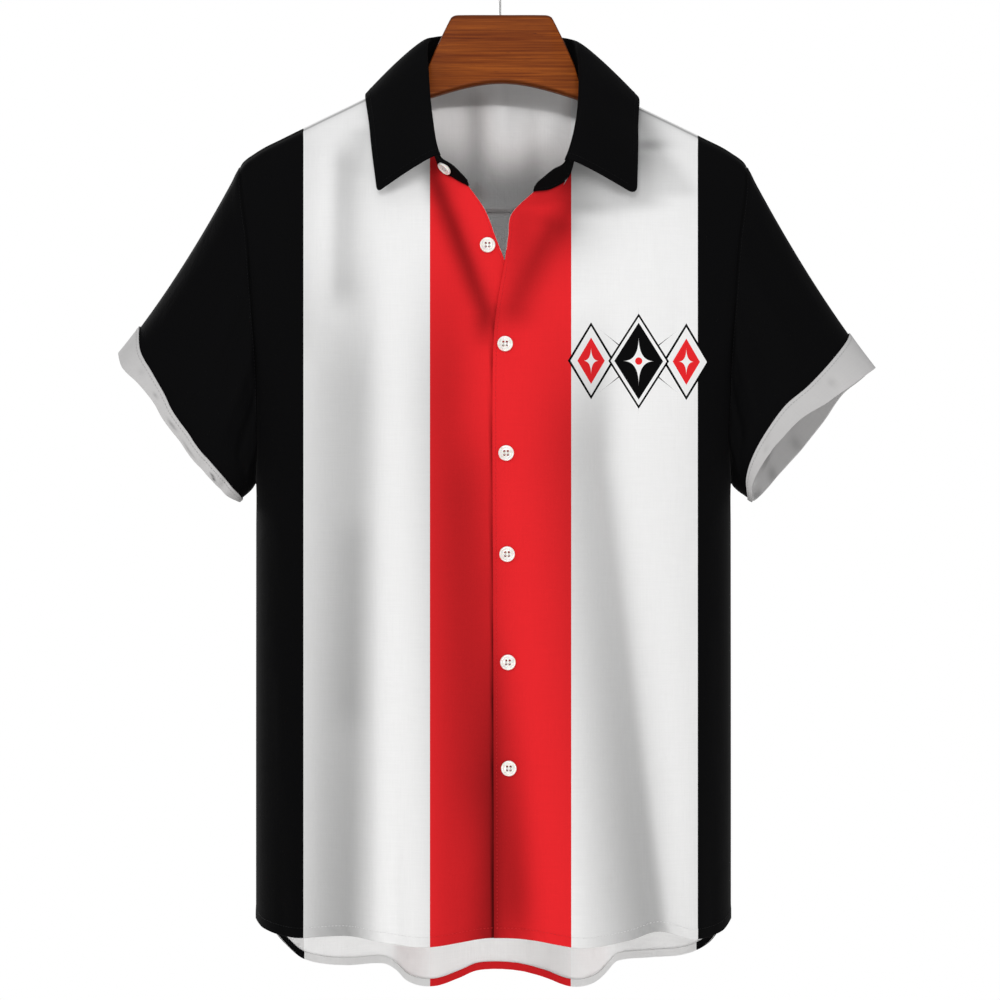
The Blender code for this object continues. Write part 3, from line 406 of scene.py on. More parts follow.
collar = {
    "wall": 1.6, "thick": 1.8,  # cloth here, wall in the solids
    "gap": 0.3, "leafTips": (4.0, 8.0), "standTips": (4.0, 5.0),
    "rollRise": 14.0, "crown": 10.0, "crownAt": 0.55,
    # the columns count round the neck from one front edge to the other
    "last": 22, "shoulders": (6, 16), "leafFrom": 2, "leafTo": 20,
    # column, neck x, neck wrap, roll x, y, z, leaf edge x, edge wrap, edge off
    "stations": [
        (0, -26.2, -46.6, -26.5, -65.5, -218.4, -99.7, -41.1, 8),
        (1, -37.5, -44.8, -39.0, -72.5, -207.0, -99.7, -41.1, 8),
        (2, -51.5, -41.4, -50.2, -73, -198.5, -99.7, -41.1, 8),
        (4, -65.0, -27.5, -57.6, -52, -163.0, -106.5, -26.3, 5),
        (6, -70.5, -5.0, -63.0, -8, -104.5, -110.5, -3, 4),
        (8, -60.5, 12.5, -54.5, 20, -90.5, -92, 19.5, 3.5),
        (11, 0.0, 20.0, 0.0, 32, -88.0, 0, 28, 3.5),
        (14, 60.5, 12.5, 57.0, 20, -92.0, 93, 19.5, 3.5),
        (16, 70.5, -5.0, 66.8, -8, -108.0, 112, -2, 8),
        (18, 66.5, -26.5, 65.0, -50, -160.5, 113.5, -22.5, 5),
        (20, 58.5, -40.6, 54.6, -72, -202.5, 111.0, -39.1, 8),
        (21, 44.0, -45.2, 43.0, -72, -210.5, 111.0, -39.1, 8),
        (22, 27.9, -46.9, 28.3, -67.5, -222.4, 111.0, -39.1, 8),
    ],
}


def neckPoint(column):
    return wrapPoint(readRows(collar["stations"], column, 1), readRows(collar["stations"], column, 2))


def rollPoint(column):
    return pointsAt(*(readRows(collar["stations"], column, i) for i in (3, 4, 5)))


def roundTips(grid, radii):
    for side, radius in zip(("first", "last"), radii):
        grid = roundCorner(grid, side, radius)
    return grid


def standGrid():
    column = np.linspace(0, collar["last"], collar["last"] * counts["collar"] + 1)
    neck, roll = neckPoint(column), rollPoint(column)
    rise = np.linspace(0, 1, counts["stand"] + 1)[:, None, None]
    return roundTips(neck + (roll - neck) * rise, collar["standTips"])


def leafGrid(standNormals):
    # from the stand's inner top edge up, over and down to the leaf's outer edge
    first, stop = collar["leafFrom"], collar["leafTo"]
    column = np.linspace(first, stop, (stop - first) * counts["collar"] + 1)
    roll = rollPoint(column)
    rise = unit(roll - neckPoint(column))
    inward = -standNormals[-1][first * counts["collar"]:stop * counts["collar"] + 1]
    start = roll + inward * collar["thick"] + rise * collar["gap"]
    edgeX, edgeWrap, edgeOff = (readRows(collar["stations"], column, i) for i in (6, 7, 8))
    along = wrapPoint(edgeX + 1, edgeWrap) - wrapPoint(edgeX - 1, edgeWrap)
    around = wrapPoint(edgeX, edgeWrap + 1) - wrapPoint(edgeX, edgeWrap - 1)
    outward = unit(np.cross(around, along))
    outward = outward * np.sign(outward[:, 2:])
    end = wrapPoint(edgeX, edgeWrap) + outward * edgeOff[:, None]
    lift = unit(np.cross(rollPoint(column + 1) - rollPoint(column - 1), end - start))
    over = end + (start - end) * collar["crownAt"] + lift * collar["crown"]
    s = spread(counts["leaf"], 0.5, 1.0, 0.8)[:, None, None]
    grid = (
        start * (1 - s) ** 3 + (start + rise * collar["rollRise"]) * 3 * s * (1 - s) ** 2
        + over * 3 * s**2 * (1 - s) + end * s**3
    )
    return roundTips(grid, collar["leafTips"])


# what both sleeves share; the creases' shares are of the way from armhole to cuff
sleeveForm = {
    "halfDepth": 37, "squareness": 2.3, "hang": 17, "pitLift": 15, "swell": 10, "tuck": 8, "backTuck": 1.9,
    "creaseIn": 0.2, "creaseOut": 0.35, "creaseFrom": 0.08, "mostPinchShade": 0.9,
}
sleeves = {
    "left": {
        "side": -1, "top": (-319.0, -356.5), "low": (-219.5, -480.0),
        "cuffFrom": 0.83, "cuffSlim": 0.07,
        # pinched places of the cuff, with painted shade: turn, share, half turn, half share, shade
        "pinches": [
            (71, 0.955, 2.0, 0.012, 0.30), (89, 0.965, 2.6, 0.012, 0.42), (104, 0.975, 6.0, 0.010, 0.34),
            (127, 0.955, 2.2, 0.010, 0.80), (130, 0.972, 2.0, 0.012, 0.85), (52, 0.93, 3.0, 0.02, 0.12),
        ],
        # place from the top end of the cuff (1) to its low end (-1), reach of its rim in front, behind
        "rims": [
            (1, 0, 0), (0.83, 4, -2), (0.6, 1.5, -5), (0.39, 1, -7), (0.15, 3.5, -8), (-0.12, 4.5, -8),
            (-0.39, 5.5, -8), (-0.65, 4.5, -7), (-0.88, 3.5, -4), (-1, 0, 0),
        ],
        # turn in degrees from the top (front first), drift, share from, share to, width in degrees, rise
        "creases": [
            (62, 10, 0.05, 0.75, 7, 1.6), (80, 14, 0.0, 0.6, 6, -1.8), (104, 12, 0.05, 0.8, 8, 2.0),
            (128, 10, 0.0, 0.65, 7, -2.2), (150, 6, 0.0, 0.55, 7, 1.8), (38, 6, 0.1, 0.7, 8, -1.0),
            (212, -8, 0.0, 0.6, 7, -2.0), (236, -12, 0.05, 0.75, 8, 1.8), (262, -12, 0.0, 0.7, 8, -1.6),
            (290, -8, 0.1, 0.8, 9, 1.2),
            (76, 0, 0.9, 1.2, 5, -1.3), (97, 0, 0.9, 1.2, 5, -1.5), (118, 0, 0.9, 1.2, 4, -1.4),
            (141, 0, 0.88, 1.2, 5, -1.8), (250, 0, 0.9, 1.2, 6, -1.2), (214, 0, 0.9, 1.2, 5, -1.3),
        ],
    },
    "right": {
        "side": 1, "top": (314.0, -369.0), "low": (210.0, -478.0),
        "cuffFrom": 0.80, "cuffSlim": 0.0,
        "pinches": [
            (62, 0.90, 3.0, 0.04, 0.14), (233, 0.93, 5.0, 0.09, 0.30), (262, 0.93, 3.5, 0.08, 0.22),
            (208, 0.95, 6.0, 0.06, 0.34), (118, 0.92, 3.0, 0.03, 0.10),
        ],
        "rims": [
            (1, 0, 0), (0.83, -3, -0.5), (0.6, -6.5, -2.5), (0.29, -11.5, 1.5), (0, -17.5, 3.5),
            (-0.35, -17.5, 5), (-0.68, -14, 6), (-0.9, -7, 5.5), (-1, 3, 3),
        ],
        "creases": [
            (55, 12, 0.05, 0.7, 7, 1.4), (76, 14, 0.0, 0.7, 7, -1.8), (98, 14, 0.05, 0.75, 8, 1.9),
            (122, 10, 0.0, 0.6, 7, -2.0), (146, 8, 0.0, 0.6, 8, 2.0), (33, 4, 0.15, 0.75, 8, -0.9),
            (208, -6, 0.0, 0.6, 7, -2.0), (232, -12, 0.05, 0.7, 8, 1.7), (258, -14, 0.0, 0.75, 8, -1.5),
            (286, -8, 0.1, 0.8, 9, 1.3),
            (66, 0, 0.86, 1.2, 6, -1.2), (112, 0, 0.88, 1.2, 5, -1.2), (205, 0, 0.8, 1.2, 8, 2.6),
            (236, 0, 0.8, 1.2, 9, -2.4), (262, 0, 0.8, 1.2, 7, 2.2), (290, 0, 0.84, 1.2, 8, -1.8),
        ],
    },
}


def armholeRing(side, front, yoke, back):
    # down the front, up the back and over the yoke
    last = 0 if side < 0 else -1
    return np.concatenate([
        front[:counts["armFront"] + 1, -1], back[counts["armBack"] - 1::-1, last], yoke[-2:0:-1, last],
    ])


def ringTurns(ring):
    # 0 at the top of the ring, half a turn at the armpit; the front half is the first one
    steps = np.linalg.norm(np.roll(ring, -1, axis=0) - ring, axis=1)
    lengths, total = np.concatenate([[0.0], np.cumsum(steps)[:-1]]), steps.sum()
    ridge, pit = lengths[np.argmax(ring[:, 2])], lengths[np.argmin(ring[:, 2])]
    fromTop, toPit = (lengths - ridge) % total, (pit - ridge) % total
    return np.pi * np.where(fromTop <= toPit, fromTop / toPit, 1 + (fromTop - toPit) / (total - toPit))


def sleeveGrid(cut, ring):
    side, turn = cut["side"], ringTurns(ring)
    c, s = np.cos(turn), np.sin(turn)
    flatC = (np.sign(c) * np.abs(c) ** (2 / sleeveForm["squareness"]))[:, None]
    flatS = (np.sign(s) * np.abs(s) ** (2 / sleeveForm["squareness"]))[:, None]
    top, low = (np.array([cut[end][0], 0.0, cut[end][1]]) for end in ("top", "low"))
    middle, half = (top + low) / 2, (top - low) / 2
    axis = unit(np.array([side * half[2], 0.0, -side * half[0]]))
    rim = np.where(s > 0, readRows(cut["rims"], flatC[:, 0], 1), readRows(cut["rims"], flatC[:, 0], 2))
    end = middle + half * flatC - np.array([0.0, sleeveForm["halfDepth"], 0.0]) * flatS + axis * rim[:, None]
    bend, lowDown = (ring + end) / 2, ((1 - c) / 2) ** 2
    bend[:, 1] -= sleeveForm["swell"] * s
    bend[:, 2] += sleeveForm["pitLift"] * lowDown - sleeveForm["hang"]
    bend[:, 0] -= side * sleeveForm["tuck"] * lowDown * np.where(s > 0, s, sleeveForm["backTuck"] * s)
    # the turned-up cuff begins at this share of the way, later in front where it is slimmer
    fold = cut["cuffFrom"] + cut["cuffSlim"] * np.maximum(0, s) ** 2
    plain, turned = (np.linspace(0, 1, counts[part] + 1)[:, None] for part in ("sleeve", "cuff"))
    share = np.concatenate([fold * plain, fold + (1 - fold) * turned[1:]])
    t = share[..., None]
    return ring * (1 - t) ** 2 + bend * 2 * t * (1 - t) + end * t**2, share, np.degrees(turn)


def sleeveCreases(cut, share, turn):
    rise = 0.0
    for at, drift, start, stop, width, high in cut["creases"]:
        along = (share - start) / (stop - start)
        held = softStep(1 + along / sleeveForm["creaseIn"]) * softStep((1 - along) / sleeveForm["creaseOut"])
        apart = (turn - at - drift * along + 180) % 360 - 180
        rise = rise + high * held * np.exp(-((apart / width) ** 2))
    return rise * softStep(share / sleeveForm["creaseFrom"])


def pinchShade(cut, share, turn):
    shade = 0.0
    for at, place, halfTurn, halfShare, dark in cut["pinches"]:
        apart = (turn - at + 180) % 360 - 180
        shade = shade + dark * np.exp(-((apart / halfTurn) ** 2) - ((share - place) / halfShare) ** 2)
    return np.clip(shade, 0, sleeveForm["mostPinchShade"])


def gridNormals(grid, sign, ring):
    if ring:
        across = np.roll(grid, -1, axis=1) - np.roll(grid, 1, axis=1)
    else:
        across = np.gradient(grid, axis=1)
    return unit(np.cross(across, np.gradient(grid, axis=0))) * sign


def shareNormals(pieces):
    # pieces that meet at a seam lean the same way there
    total = {}
    keys = []
    for piece in pieces:
        rounded = [tuple(row) for row in np.round(piece["grid"].reshape(-1, 3), 2)]
        keys.append(rounded)
        for key, normal in zip(rounded, piece["normals"].reshape(-1, 3)):
            total[key] = total.get(key, 0) + normal
    for piece, rounded in zip(pieces, keys):
        piece["normals"] = unit(np.array([total[key] for key in rounded])).reshape(piece["grid"].shape)


def fromBorder(grid, border):
    # the grid turned so that its first axis runs along a border and its second leads inwards
    turned = {
        "first": grid, "last": grid[:, ::-1], "top": grid.swapaxes(0, 1), "low": grid[::-1].swapaxes(0, 1),
    }
    return turned[border]


def distanceIn(grid, border):
    turned = fromBorder(grid, border)
    steps = np.linalg.norm(np.diff(turned, axis=1), axis=2)
    distance = np.concatenate([np.zeros((len(turned), 1)), np.cumsum(steps, axis=1)], axis=1)
    back = {"first": distance, "last": distance[:, ::-1], "top": distance.T, "low": distance.T[::-1]}
    return back[border]


def roundCorner(grid, side, radius):
    # points near a low corner are drawn inwards, so that its two edges meet in an arc
    u = np.maximum(0, 1 - distanceIn(grid, "low") / radius)[..., None]
    v = np.maximum(0, 1 - distanceIn(grid, side) / radius)[..., None]
    up = -unit(np.gradient(grid, axis=0))
    inwards = unit(np.gradient(grid, axis=1)) * (1 if side == "first" else -1)
    return grid + radius * (
        u * (1 - np.sqrt(1 - v**2 / 2)) * up + v * (1 - np.sqrt(1 - u**2 / 2)) * inwards
    )


def newPiece(name, grid, sign, seams=(), ring=False):
    return {
        "name": name, "grid": grid, "sign": sign, "ring": ring, "seams": seams,
        "normals": gridNormals(grid, sign, ring), "shade": np.zeros(grid.shape[:2]),
    }


seamFinish = {
    "groove": 0.75, "grooveWide": 2.2, "fell": 0.35, "fellFrom": 5.0, "fellWide": 7.0, "hemRise": 0.3,
    "hemWide": 10.5, "hemEase": 2.5, "seamShade": 0.55, "seamShadeWide": 1.3, "edgeBulge": 0.3,
}
# ropes along a hem: how close together, how slanting, how they stray and swell, painted shade between them
ropes = {
    "across": 0.62, "slant": 0.5, "stray": 1.7, "strayRate": 0.11, "least": 0.6, "swell": 0.4,
    "swellRate": 0.053, "shade": 0.10, "shadeGain": 3, "mostShade": 0.9,
}


def raiseCloth(piece, rise):
    piece["grid"] = piece["grid"] + piece["normals"] * np.asarray(rise)[..., None]


def dressSeams(piece):
    # each sewn edge sinks into a soft groove, and the turnings under it swell the cloth beside it
    rise = np.zeros(piece["grid"].shape[:2])
    for border in piece["seams"]:
        away = distanceIn(piece["grid"], border)
        rise -= seamFinish["groove"] * np.exp(-((away / seamFinish["grooveWide"]) ** 2))
        fell = (away - seamFinish["fellFrom"]) / seamFinish["fellWide"]
        rise += seamFinish["fell"] * np.exp(-(fell**4))
        # painted shade: a dark line along each sewn edge, in its groove
        grooveShade = seamFinish["seamShade"] * np.exp(-((away / seamFinish["seamShadeWide"]) ** 2))
        for layer in ("shade", "shadeInside"):
            if layer in piece:
                piece[layer] = 1 - (1 - piece[layer]) * (1 - grooveShade)
    raiseCloth(piece, rise)


def dressHem(piece, border, rope):
    # a double turned hem is a little thicker, and its stitching pulls it into slanting ropes with painted
    # shade
    away = distanceIn(piece["grid"], border)
    x = piece["grid"][..., 0]
    inside = softStep((seamFinish["hemWide"] - away) / seamFinish["hemEase"])
    stray = ropes["stray"] * np.sin(x * ropes["strayRate"])
    swell = ropes["least"] + ropes["swell"] * np.sin(x * ropes["swellRate"] + 1)
    slant = np.sin(x * ropes["across"] + away * ropes["slant"] + stray) * swell
    raiseCloth(piece, inside * (seamFinish["hemRise"] + rope * slant))
    # painted shade between the ropes
    dark = inside * ropes["shade"] * (1 - slant) * min(1, rope * ropes["shadeGain"])
    piece["shade"] = np.clip(piece["shade"] + dark, 0, ropes["mostShade"])


plumb = 2600.0  # stripes hang plumb when the shirt is seen from this far in front


def plumbMap(grid):
    across = grid[..., 0] * plumb / (plumb + grid[..., 1]) - stripes["middle"]
    return np.stack([across, grid[..., 2]], axis=-1) * mm


def lengthMap(grid):
    across = np.linalg.norm(np.diff(grid, axis=1, append=grid[:, -1:]), axis=2).mean(axis=0)
    down = np.linalg.norm(np.diff(grid, axis=0, append=grid[-1:]), axis=2).mean(axis=1)
    u = np.concatenate([[0.0], np.cumsum(across)[:-1]])
    v = -np.concatenate([[0.0], np.cumsum(down)[:-1]])
    return np.stack(np.meshgrid(u, v), axis=-1) * mm


def borderLoop(rows, columns, ring):
    if ring:
        return [[j for j in range(columns)], [(rows - 1) * columns + j for j in range(columns)][::-1]]
    loop = [j for j in range(columns)] + [k * columns + columns - 1 for k in range(1, rows)]
    loop += [(rows - 1) * columns + j for j in range(columns - 2, -1, -1)]
    return [loop + [k * columns for k in range(rows - 2, 0, -1)]]


def addMesh(name, points, faces, materials, chosen=None, uv=None, marks=None):
    mesh = bpy.data.meshes.new(name)
    mesh.from_pydata((np.asarray(points) * mm).tolist(), [], faces)
    for material in materials:
        mesh.materials.append(material)
    if chosen is not None:
        mesh.polygons.foreach_set("material_index", np.asarray(chosen, dtype=np.int32))
    if uv is not None:
        layer = mesh.uv_layers.new(name="cloth")
        corners = np.empty(len(mesh.loops), dtype=np.int32)
        mesh.loops.foreach_get("vertex_index", corners)
        layer.data.foreach_set("uv", np.asarray(uv, dtype=np.float32)[corners].ravel())
    for mark, values in (marks or {}).items():
        mesh.attributes.new(mark, "FLOAT", "POINT").data.foreach_set("value", np.asarray(values, np.float32))
    mesh.shade_smooth()
    obj = bpy.data.objects.new(name, mesh)
    bpy.context.scene.collection.objects.link(obj)
    return obj


def addShell(piece, thick, materials, rimMaterial):
    # two layers of points joined by a rounded edge; faces outward, inward and on the edge
    grid, normals, ring, uv = piece["grid"], piece["normals"], piece["ring"], piece["uv"].reshape(-1, 2)
    rows, columns = grid.shape[:2]
    outer, inner = grid.reshape(-1, 3), (grid - normals * thick).reshape(-1, 3)
    a = (np.arange(rows - 1)[:, None] * columns + np.arange(columns if ring else columns - 1)).ravel()
    b = np.where((a + 1) % columns == 0, a + 1 - columns, a + 1)
    quads = np.stack([a, b, b + columns, a + columns], axis=1)
    if piece["sign"] < 0:
        quads = quads[:, ::-1]
    layer = rows * columns
    faces = quads.tolist() + (quads[:, ::-1] + layer).tolist()
    chosen = [0] * len(quads) + [1] * len(quads)
    k, j = np.divmod(np.arange(layer), columns)
    inside = np.clip(k, 1, rows - 2) * columns + (j if ring else np.clip(j, 1, columns - 2))
    outward = unit(outer - outer[inside])
    points, coords = [outer, inner], [uv] * 2
    shades = [piece["shade"].ravel(), piece.get("shadeInside", piece["shade"]).ravel()]
    count = 2 * layer
    for loop in borderLoop(rows, columns, ring):
        points.append((outer[loop] + inner[loop]) / 2 + outward[loop] * thick * seamFinish["edgeBulge"])
        coords.append(uv[loop])
        shades.append(piece["shade"].ravel()[loop])
        for n in range(len(loop)):
            m = (n + 1) % len(loop)
            p, q, midP, midQ = loop[n], loop[m], count + n, count + m
            strip = [(q, p, midP, midQ), (midQ, midP, p + layer, q + layer)]
            faces += [face[::-1] for face in strip] if piece["sign"] < 0 else strip
            turnedOut = outer[p, 2] > piece.get("rimFrom", math.inf)  # the turned edge shows its pale side
            chosen += [1 if turnedOut else rimMaterial] * 2
        count += len(loop)
    obj = addMesh(
        piece["name"], np.concatenate(points), faces, materials, chosen, np.concatenate(coords),
        {"shade": np.concatenate(shades)},
    )
    obj.data.set_sharp_from_angle(angle=math.radians(42))
    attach(obj, "root")
    return obj


sewing = {
    "pitch": 3.0, "length": 2.3, "thread": 0.42, "sink": 0.02,
    # how far in from its edge each line of stitches runs
    "edge": 2.5, "frontHem": 8.0, "backHem": 7.0, "bandTop": 1.0, "bandLow": 2.0, "leaf": 5.0,
}


def insetLine(piece, border, inset, span=(0.0, 1.0)):
    # a line a fixed distance in from a border: points, normals and their places in the print
    grid, normals = fromBorder(piece["grid"], border), fromBorder(piece["normals"], border)
    uv = fromBorder(piece["uv"], border)
    away = fromBorder(distanceIn(piece["grid"], border)[..., None], border)[..., 0]
    first, stop = int(span[0] * (len(grid) - 1)), int(span[1] * (len(grid) - 1)) + 1
    line = []
    for k in range(first, stop):
        row = [np.interp(inset, away[k], source[k, :, i]) for source, size in
               ((grid, 3), (normals, 3), (uv, 2)) for i in range(size)]
        line.append(row)
    return np.array(line)


def sewLine(line, closed=False):
    # stitches along a line, each one a small capsule that dips into the cloth at its ends
    if closed:
        line = np.concatenate([line, line[:1]])
    steps = np.linalg.norm(np.diff(line[:, :3], axis=0), axis=1)
    lengths = np.concatenate([[0.0], np.cumsum(steps)])
    starts = np.arange(sewing["pitch"] / 2, lengths[-1] - sewing["length"], sewing["pitch"])
    return [
        np.array([
            [np.interp(at, lengths, line[:, i]) for i in range(8)] for at in (start, start + sewing["length"])
        ])
        for start in starts
    ]


def addStitches(name, stitches, material):
    points, faces, coords = [], [], []
    radius = sewing["thread"] / 2
    for start, stop in stitches:
        up = unit(start[3:6] + stop[3:6])
        along = stop[:3] - start[:3]
        side = unit(np.cross(along, up)) * radius
        base = len(points)
        lift = up * radius * 0.55
        points += [start[:3] - up * sewing["sink"]]
        for share in (0.22, 0.78):
            middle = start[:3] + along * share + lift
            points += [middle + side, middle + up * radius, middle - side, middle - up * radius]
        points += [stop[:3] - up * sewing["sink"]]
        coords += [(start[6:] + stop[6:]) / 2] * 10
        for i in range(4):
            n = (i + 1) % 4
            faces += [
                (base, base + 1 + n, base + 1 + i), (base + 1 + i, base + 1 + n, base + 5 + n, base + 5 + i),
                (base + 5 + i, base + 5 + n, base + 9),
            ]
    obj = addMesh(name, points, faces, [material], None, np.array(coords))
    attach(obj, "root")
    return obj


def hexToLinear(code):
    channels = [int(code[i:i + 2], 16) / 255 for i in (1, 3, 5)]
    return [c / 12.92 if c <= 0.04045 else ((c + 0.055) / 1.055) ** 2.4 for c in channels] + [1.0]


def addNode(tree, kind, settings):
    # a value that is a socket is linked; any other goes to the input of that name, or to the node itself
    node = tree.nodes.new("ShaderNode" + kind)
    for name, value in settings.items():
        if isinstance(value, bpy.types.NodeSocket):
            tree.links.new(value, node.inputs[name])
        elif isinstance(name, int) or name in node.inputs:
            node.inputs[name].default_value = value
        else:
            setattr(node, name, value)
    return node


def newMaterial(name, settings):
    material = bpy.data.materials.new(name)
    material.use_nodes = True
    tree = material.node_tree
    surface = tree.nodes["Principled BSDF"]
    for socket, value in settings.items():
        surface.inputs[socket].default_value = value
    return material, tree, surface


printColours = {"red": "#e3262b", "white": "#ececec", "black": "#060607"}
wrongColours = {"red": "#f8f2f1", "white": "#fbfafa", "black": "#c2c1c1"}  # the print just shows through
stripes = {"middle": 0.5, "redHalf": 58.2, "whiteHalf": 165.3, "reach": 400.0}

# chest print: four-point stars and lozenges in a row, over thin rays
chest = {
    "middle": 116, "height": -366, "apart": 40, "rayTurns": (38, -38),
    # half width, half height, roundness (1 lozenge, 0.5 star, 2 disc), colour
    "sideMarks": [
        (19.5, 31.5, 1, "black"), (17.3, 28.3, 1, "white"), (11.5, 19, 1, "red"), (6.5, 11.5, 0.5, "white"),
    ],
    "middleMarks": [
        (25.5, 39, 1, "black"), (23.6, 36.2, 1, "white"), (20.5, 31.5, 1, "black"), (13, 20, 0.5, "white"),
        (3.0, 3.0, 2, "red"),
    ],
}


def chestMarks():
    # x, height, half width, half height, turn in degrees, roundness, colour
    middle, height = chest["middle"], chest["height"]
    rays = [(66, 5.5, 0), *((44, 4.5, turn) for turn in chest["rayTurns"]), (47, 5.0, 90)]
    marks = [(middle, height, long, wide, turn, 0.5, "black") for long, wide, turn in rays]
    for x, shapes in (
        (middle - chest["apart"], chest["sideMarks"]), (middle + chest["apart"], chest["sideMarks"]),
        (middle, chest["middleMarks"]),
    ):
        marks += [(x, height, wide, high, 0, power, colour) for wide, high, power, colour in shapes]
    return marks


def stripeColour(tree, place, colours):
    across = addNode(tree, "SeparateXYZ", {0: place})
    wide = addNode(tree, "Math", {"operation": "ABSOLUTE", 0: across.outputs[0]})
    share = addNode(tree, "Math", {
        "operation": "MULTIPLY", 0: wide.outputs[0], 1: 1 / (stripes["reach"] * mm),
    })
    ramp = addNode(tree, "ValToRGB", {0: share.outputs[0]})
    ramp.color_ramp.interpolation = "CONSTANT"
    ramp.color_ramp.elements[0].color = hexToLinear(colours["red"])
    for edge, colour in ((stripes["redHalf"], "white"), (stripes["whiteHalf"], "black")):
        ramp.color_ramp.elements.new(edge / stripes["reach"]).color = hexToLinear(colours[colour])
    ramp.color_ramp.elements[-1].color = hexToLinear(colours["black"])
    return ramp.outputs[0]


def printMarks(tree, place, ground, marks):
    for x, z, wide, high, turn, power, colour in marks:
        local = addNode(tree, "Mapping", {
            "vector_type": "TEXTURE", "Vector": place, "Location": (x * mm, z * mm, 0),
            "Rotation": (0, 0, math.radians(turn)), "Scale": (wide * mm, high * mm, 1),
        })
        size = addNode(tree, "VectorMath", {"operation": "ABSOLUTE", 0: local.outputs[0]})
        parts = addNode(tree, "SeparateXYZ", {0: size.outputs[0]})
        bent = [addNode(tree, "Math", {"operation": "POWER", 0: parts.outputs[i], 1: power})
                for i in range(2)]
        total = addNode(tree, "Math", {
            "operation": "ADD", 0: bent[0].outputs[0], 1: bent[1].outputs[0],
        })
        inside = addNode(tree, "Math", {"operation": "LESS_THAN", 0: total.outputs[0], 1: 1.0})
        ground = addNode(tree, "Mix", {
            "data_type": "RGBA", 0: inside.outputs[0], 6: ground, 7: hexToLinear(printColours[colour]),
        }).outputs[2]
    return ground


weave = {
    "thread": 1.1,  # real threads lie 0.25 mm apart; drawn this wide so that they show
    "gloss": 0.05, "lightReach": 8.0, "slub": 26.0, "relief": 0.07, "wrinkle": 24.0, "wrinkleRelief": 0.5,
}


def wovenPolyester(name, colours, marks=(), ink=None, sheen=0.03, roughness=0.8, through=0.0):
    # plain-woven polyester: a dry, even face whose crossing threads break up the light; on its wrong side
    # the thin pale cloth also lets through some of the light that falls on the other side
    material, tree, surface = newMaterial(name, {
        "IOR": 1.5, "Roughness": roughness, "Sheen Weight": sheen, "Sheen Roughness": 0.35,
        "Specular IOR Level": weave["gloss"], "Subsurface Weight": through, "Subsurface Radius": (1, 1, 1),
        "Subsurface Scale": weave["lightReach"] * mm,
    })
    place = addNode(tree, "UVMap", {"uv_map": "cloth"}).outputs[0]
    if ink:
        colour = addNode(tree, "RGB", {})
        colour.outputs[0].default_value = hexToLinear(ink)
        colour = colour.outputs[0]
    else:
        colour = printMarks(tree, place, stripeColour(tree, place, colours), marks)
    threads = []
    for scale in ((1 / weave["thread"], 1 / weave["slub"]), (1 / weave["slub"], 1 / weave["thread"])):
        stretched = addNode(tree, "Mapping", {
            "Vector": place, "Scale": (scale[0] / mm, scale[1] / mm, 1),
        })
        threads.append(addNode(tree, "TexNoise", {
            "noise_dimensions": "2D", "Vector": stretched.outputs[0], "Scale": 1.0, "Detail": 2.0,
        }).outputs[0])
    crossed = addNode(tree, "Math", {"operation": "ADD", 0: threads[0], 1: threads[1]})
    # threads take the dye a little unevenly
    uneven = addNode(tree, "MapRange", {
        0: crossed.outputs[0], "From Min": 0.6, "From Max": 1.4, "To Min": 0.975, "To Max": 1.012,
    })
    dyed = addNode(tree, "Mix", {
        "data_type": "RGBA", "blend_type": "MULTIPLY", 0: 1.0, 6: colour, 7: uneven.outputs[0],
    })
    # painted shade: the shade attribute makes the colour darker deep in a fold, a seam, a hem or the neck
    shade = addNode(tree, "Attribute", {"attribute_name": "shade"})
    deep = addNode(tree, "Mix", {
        "data_type": "RGBA", 0: shade.outputs["Fac"], 6: dyed.outputs[2], 7: (0, 0, 0, 1),
    })
    tree.links.new(deep.outputs[2], surface.inputs["Base Color"])
    creased = addNode(tree, "TexNoise", {
        "noise_dimensions": "2D", "Vector": place, "Scale": 1 / (weave["wrinkle"] * mm), "Detail": 3.0,
        "Roughness": 0.45, "Distortion": 0.6,
    })
    wrinkles = addNode(tree, "Bump", {
        "Strength": 1.0, "Distance": weave["wrinkleRelief"] * mm, "Height": creased.outputs[0],
    })
    relief = addNode(tree, "Bump", {
        "Strength": 1.0, "Distance": weave["relief"] * mm, "Height": crossed.outputs[0],
        "Normal": wrinkles.outputs[0],
    })
    tree.links.new(relief.outputs[0], surface.inputs["Normal"])
    return material


def spunThread(name, colours, ink=None, roughness=0.55):
    # spun polyester sewing thread: smoother than the cloth, so each stitch catches a small light
    material, tree, surface = newMaterial(name, {
        "IOR": 1.5, "Roughness": roughness, "Specular IOR Level": 0.2,
    })
    place = addNode(tree, "UVMap", {"uv_map": "cloth"}).outputs[0]
    if ink:
        surface.inputs["Base Color"].default_value = hexToLinear(ink)
    else:
        tree.links.new(stripeColour(tree, place, colours), surface.inputs["Base Color"])
    twist = addNode(tree, "TexCoord", {})
    ply = addNode(tree, "TexWave", {
        "Vector": twist.outputs["Object"], "bands_direction": "DIAGONAL", "Scale": 0.5 / (0.4 * mm),
    })
    relief = addNode(tree, "Bump", {"Distance": 0.05 * mm, "Height": ply.outputs[0]})
    tree.links.new(relief.outputs[0], surface.inputs["Normal"])
    return material


